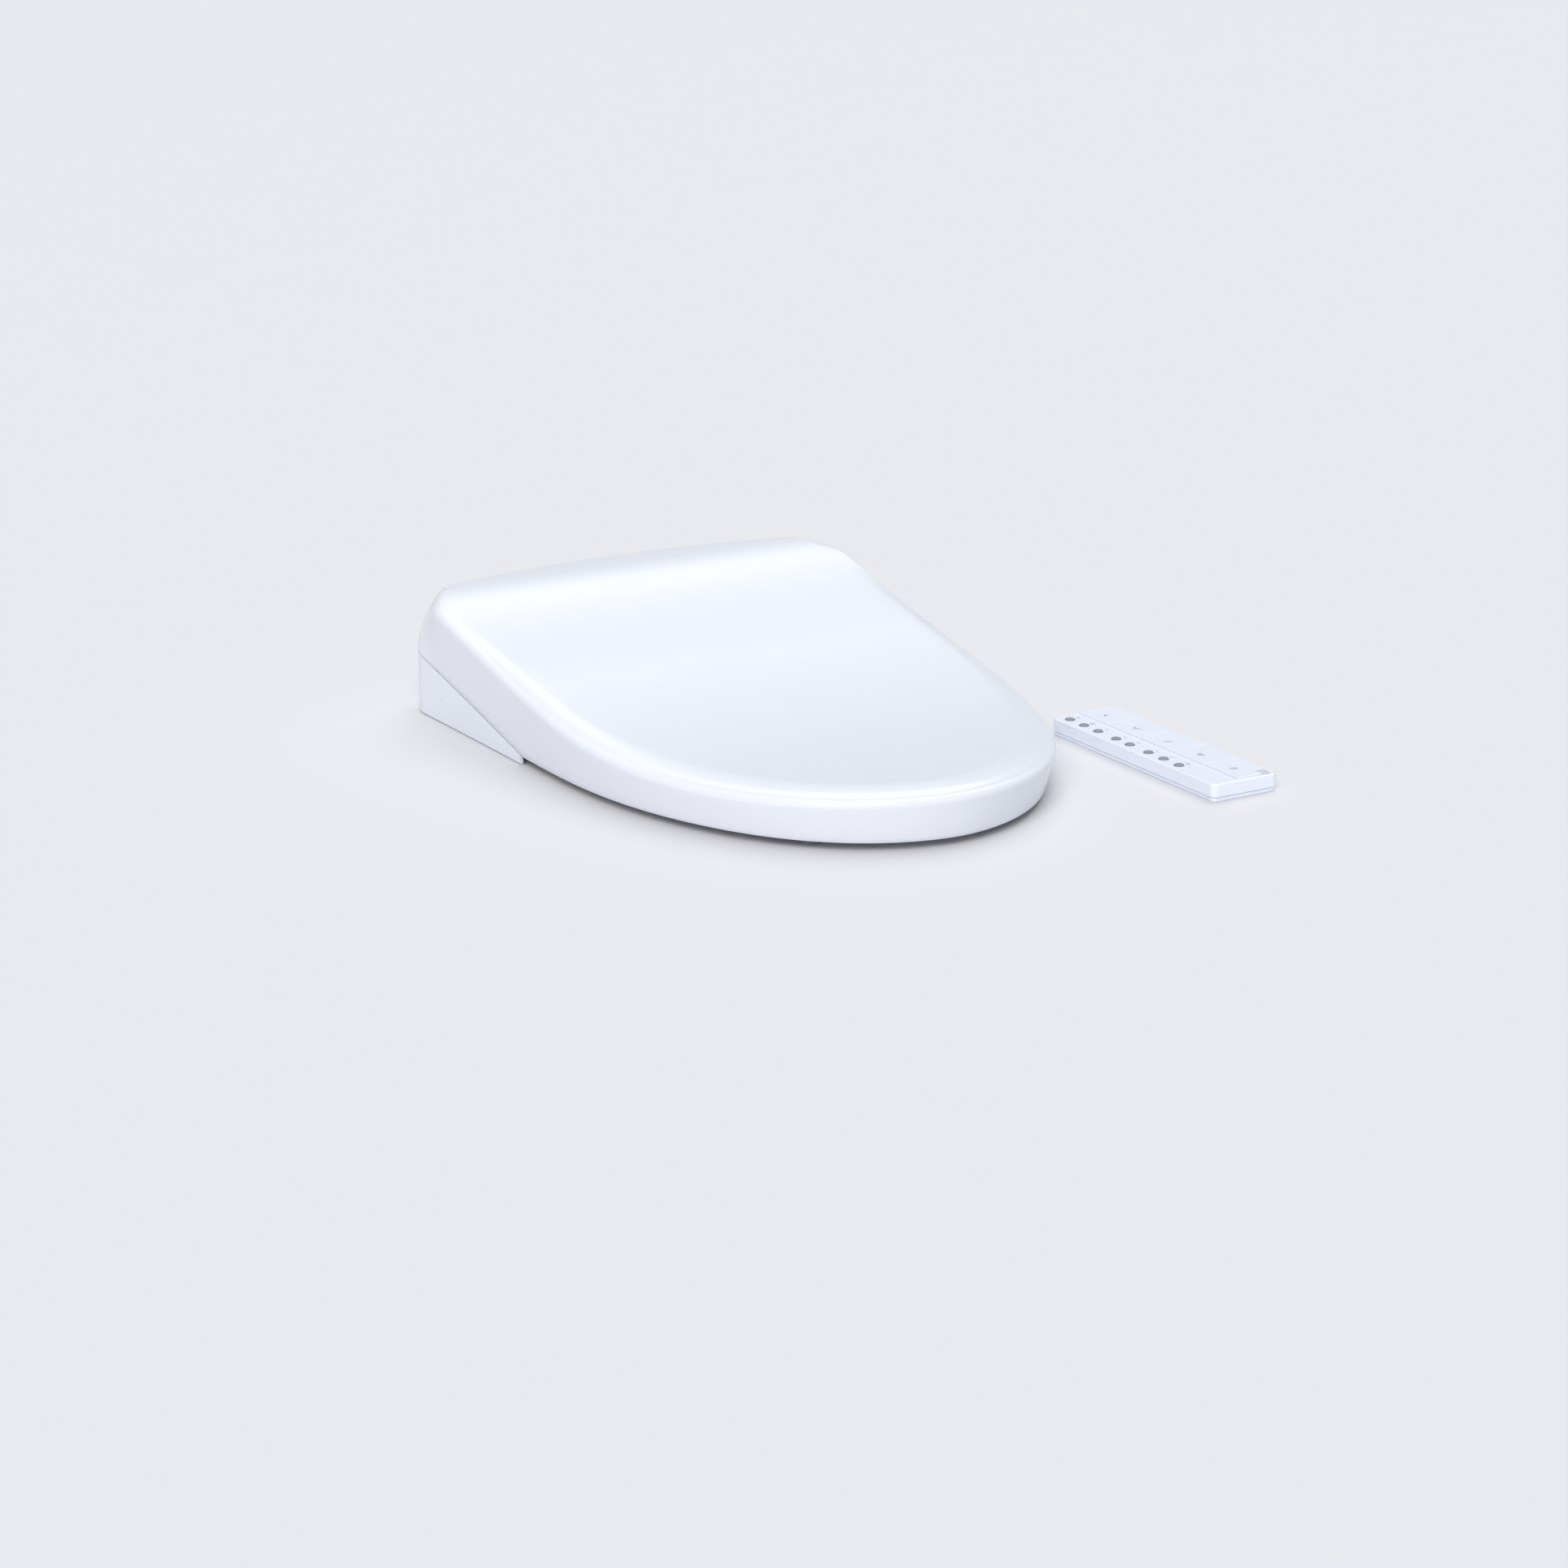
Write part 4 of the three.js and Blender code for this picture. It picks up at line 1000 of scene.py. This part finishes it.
def make_remote_case():
    """The remote control's case, with a hole for each key and a post below the lamp."""
    case = remote_plate("case", (0, REMOTE_LENGTH), (0, REMOTE_WIDTH), 4, REMOTE_FACE, REMOTE_CORNER, 1.4, 5)
    cutters = []
    for i in range(5):
        start = KEY_START + KEY_PITCH * i
        along = (start - KEY_GAP, start + KEY_WIDTH + KEY_GAP)
        across = (KEY_ROW[0] - KEY_GAP, KEY_ROW[1] + KEY_GAP)
        cutters.append(remote_plate("hole", along, across, 8, 20, 0.8))
    for along in SMALL_KEYS:
        cutters.append(remote_disc("hole", along, SMALL_KEY_ROW, 8, 20, 4.1))
    case = cut(case, *cutters)
    a0, a1, c0, c1 = LAMP
    post = remote_plate("post", (a0, a1), (c0, c1), 7, REMOTE_FACE, 1)
    return join("case", [case, post])


def stroke(a, b, width, height, depth=0.08):
    """A printed line from a to b."""
    a, b = Vector(a), Vector(b)
    along = (b - a).normalized() if (b - a).length else Vector((1, 0))
    side = Vector((-along.y, along.x)) * width / 2
    outline = []
    for centre, way in ((b, 1), (a, -1)):
        for i in range(7):
            turn = -math.pi / 2 + math.pi * i / 6
            outline.append(centre + along * way * math.cos(turn) * width / 2 + side * way * math.sin(turn))
    vertices = [on_remote(p.x, p.y, z) for z in (height - 0.3, height + depth) for p in outline]
    return build("stroke", vertices, capped_faces(2, len(outline)))


def strokes(middle, lines, width, height):
    """The printed lines of one sign."""
    out = []
    for line in lines:
        for a, b in zip(line, line[1:]):
            out.append(stroke(Vector(middle) + Vector(a), Vector(middle) + Vector(b), width, height))
    return out


# the signs: lines of points in millimetres, measured from the middle of each sign
KEY_SIGNS = (
    # a crossed square
    [
        [(-0.9, -0.9), (0.9, -0.9), (0.9, 0.9), (-0.9, 0.9), (-0.9, -0.9)],
        [(-0.4, -0.4), (0.4, 0.4)],
        [(-0.4, 0.4), (0.4, -0.4)],
    ],
    # an arc over three short lines
    [
        [(-4.4, 1.6), (-3.4, 0.6), (-2, 0.1), (0, -0.1), (2, 0.1), (3.4, 0.6), (4.4, 1.6)],
        [(0, -1.4), (0, -3)],
        [(-1.2, -1.3), (-1.8, -2.6)],
        [(1.2, -1.3), (1.8, -2.6)],
    ],
    # a bent line with two short ones
    [
        [(1.6, 3), (1.7, 0.6), (1.2, -1.6), (-0.6, -1.7), (-0.9, -0.2), (0.9, 0.2)],
        [(-1.8, -1.8), (-3.4, -1.2)],
        [(1.6, 3.4), (1.7, 3.5)],
    ],
    # a wave over two bars
    [
        [(-3.4, 1.2), (-2.3, 1.8), (-1.1, 1.2), (0, 1.8), (1.1, 1.2), (2.3, 1.8), (3.4, 1.2)],
        [(-2.8, -0.2), (2.8, -0.2)],
        [(-2.2, -1.6), (2.2, -1.6)],
    ],
    # a rounded shape on a base line
    [
        [(-2.2, -2), (2.2, -2)],
        [(-2, -2), (-1.6, 1.6), (-0.6, 2.6), (0.8, 2.6), (1.8, 1.6), (2, -2)],
        [(-0.8, 0), (0.9, 0)],
    ],
)
SMALL_SIGNS = (
    # a zigzag and a dash
    [
        [(-1.6, 1.6), (-0.3, 0.9), (-1.6, 0.1), (-0.3, -0.7), (-1.6, -1.5)],
        [(0.4, 0), (1.8, 0)],
    ],
    # four corners round a cross
    [
        [(-1.7, 0.5), (-1.7, 1.7), (-0.5, 1.7)],
        [(0.5, 1.7), (1.7, 1.7), (1.7, 0.5)],
        [(1.7, -0.5), (1.7, -1.7), (0.5, -1.7)],
        [(-0.5, -1.7), (-1.7, -1.7), (-1.7, -0.5)],
        [(-0.5, 0), (0.5, 0)],
        [(0, -0.5), (0, 0.5)],
    ],
    # two bars, an arrowhead, a cross and another arrowhead
    [[(-0.8, 0.5), (0.8, 0.5)], [(-0.8, -0.5), (0.8, -0.5)]],
    [[(0.9, 1), (-0.9, 0), (0.9, -1)]],
    [[(-0.9, 0), (0.9, 0)], [(0, -0.9), (0, 0.9)]],
    [[(0.1, 1), (-0.5, 0), (0.3, -1)]],
    # a rising line, and a dash beside a closed shape
    [[(-1.6, -1), (-0.2, -0.4), (0.3, 0.8), (1.7, 1.1)]],
    [
        [(-1.9, -0.6), (-0.7, 0.3)],
        [(0, -1.1), (0.2, 1), (1.6, 1.3), (1.8, -0.9), (0, -1.1)],
    ],
)


def make_keys():
    """The keys, each with its sign. The last large key leaves room for the lamp."""
    for i in range(5):
        start = KEY_START + KEY_PITCH * i
        key = remote_plate("key", (start, start + KEY_WIDTH), KEY_ROW, KEY_LOW, KEY_TOP, 0.6, 0.5, 3)
        if i == 4:
            a0, _, c0, _ = LAMP
            key = cut(key, remote_plate("hole", (a0 - 0.35, 214), (c0 - 0.35, LAMP[3] + 0.35), 0, 20, 1.2))
        piece(key, f"key_{i + 1}", REMOTE_WHITE, "remote_white", f"remote_key_{i + 1}")
        middle = (start + KEY_WIDTH / 2, 35.5)
        sign = join(f"key_sign_{i + 1}", strokes(middle, KEY_SIGNS[i], 0.55, KEY_TOP))
        piece(sign, f"key_{i + 1}", KEY_GREY, "key_grey")
    for i, along in enumerate(SMALL_KEYS):
        key = remote_disc("small_key", along, SMALL_KEY_ROW, KEY_LOW, REMOTE_FACE + 1, 3.7, 0.8)
        piece(key, f"small_key_{i + 1}", KEY_GREY, "key_grey", f"remote_small_key_{i + 1}")
        sign = join(f"small_sign_{i + 1}", strokes((along, 16.4), SMALL_SIGNS[i], 0.4, REMOTE_FACE))
        piece(sign, "remote", KEY_GREY, "key_grey")


piece(make_remote_case(), "remote", REMOTE_WHITE, "remote_white", "remote_case")
back_plate = remote_plate("back", (1, REMOTE_LENGTH - 1), (1, REMOTE_WIDTH - 1), 0, 3.7, REMOTE_CORNER - 1)
bevel(back_plate, 0.8, 3)
piece(back_plate, "remote", REMOTE_WHITE, "remote_white", "remote_back")
lamp = remote_plate("lamp", LAMP[:2], LAMP[2:], REMOTE_FACE, KEY_TOP - 0.1, 1, 0.3)
piece(lamp, "remote", HOSE, "hose_plastic", "remote_lamp")
make_keys()


# ---- the CAD pieces that stay ----
slots = {row["node"]: row["material_slot"] for row in frame["record"]["subparts"]}
# how far each piece's edges are rounded; the ones that aren't named get one of the two widths below
EDGE_WIDTH = {
    "plate_bolt_left": 0.6, "plate_bolt_right": 0.6, "mounting_plate": 0.8, "hinge_pin_left": 0.5,
    "hinge_pin_right": 0.5, "seat_damper": 0.8, "lid_damper": 0.8, "water_heater": 2.5, "water_pump": 1.2,
    "inlet_valve": 1.2, "power_supply": 2, "nozzle_motor": 1, "blower_housing": 0.8, "power_gland": 0.6,
    "inlet_fitting": 0.8, "drain_plug": 0.8, "drive_roller": 0.6,
}
PAD_EDGE, OTHER_EDGE = 1.2, 0.25


def keep_cad_pieces(replaced):
    """Gives the CAD pieces that no finer piece replaces their materials and rounded edges."""
    for name, obj in frame["nodes"].items():
        if name in replaced:
            continue
        obj.data.materials.clear()
        obj.data.materials.append(SLOT_MATERIALS[slots[name]])
        shade(obj, 28)
        pad = name.startswith(("foot_", "seat_bumper_", "lid_bumper_"))
        bevel(obj, EDGE_WIDTH.get(name, PAD_EDGE if pad else OTHER_EDGE), 3, angle=30)


replaced_nodes = {
    "lid", "base_tray", "top_casing", "seat_top", "seat_underside", "nozzle_wand", "release_button",
    "remote_case", "remote_back", "remote_lamp",
}
replaced_nodes |= {f"remote_key_{i}" for i in range(1, 6)} | {f"remote_small_key_{i}" for i in range(1, 9)}
keep_cad_pieces(replaced_nodes)


# ---- lights, floor ----
def soft_light(name, azimuth, elevation, spread, strength, colour):
    """A far, wide lamp that shines from an azimuth, counted from +X, and an elevation, in degrees."""
    data = bpy.data.lights.new(name, "SUN")
    data.angle = math.radians(spread)
    data.energy = strength
    data.color = colour
    light = bpy.data.objects.new(name, data)
    a, e = math.radians(azimuth), math.radians(elevation)
    source = Vector((math.cos(e) * math.cos(a), math.cos(e) * math.sin(a), math.sin(e)))
    light.rotation_euler = source.to_track_quat("Z", "Y").to_euler()
    bpy.context.scene.collection.objects.link(light)


def make_floor():
    """A plain pale floor that reaches far beyond the object."""
    size = 200000
    corners = [(-size, -size, 0), (size, -size, 0), (size, size, 0), (-size, size, 0)]
    floor = build("floor", corners, [(0, 1, 2, 3)])
    floor.data.materials.append(plastic("floor", srgb(222, 223, 226), 0.9, grain=200, bump=0.0, spread=0.003))


def make_world():
    """A pale studio: as bright as the floor at the horizon, quieter above it."""
    world = bpy.data.worlds.new("world")
    world.use_nodes = True
    nodes, links = world.node_tree.nodes, world.node_tree.links
    place = nodes.new("ShaderNodeTexCoord")
    split = nodes.new("ShaderNodeSeparateXYZ")
    links.new(place.outputs["Generated"], split.inputs["Vector"])
    ramp = nodes.new("ShaderNodeValToRGB")
    ramp.color_ramp.elements[0].position = 0
    ramp.color_ramp.elements[0].color = (0.8, 0.805, 0.84, 1)
    ramp.color_ramp.elements[1].position = 0.3
    ramp.color_ramp.elements[1].color = (0.3, 0.308, 0.315, 1)
    middle = ramp.color_ramp.elements.new(0.14)
    middle.color = (0.48, 0.49, 0.51, 1)
    links.new(split.outputs["Z"], ramp.inputs["Fac"])
    links.new(ramp.outputs["Color"], nodes["Background"].inputs["Color"])
    bpy.context.scene.world = world


make_floor()
make_world()
soft_light("overhead", 40, 62, 54, 1.25, (0.955, 0.985, 1))
soft_light("front", 230, 40, 40, 2.25, (1, 0.965, 0.98))
bpy.context.scene.view_settings.view_transform = "Standard"
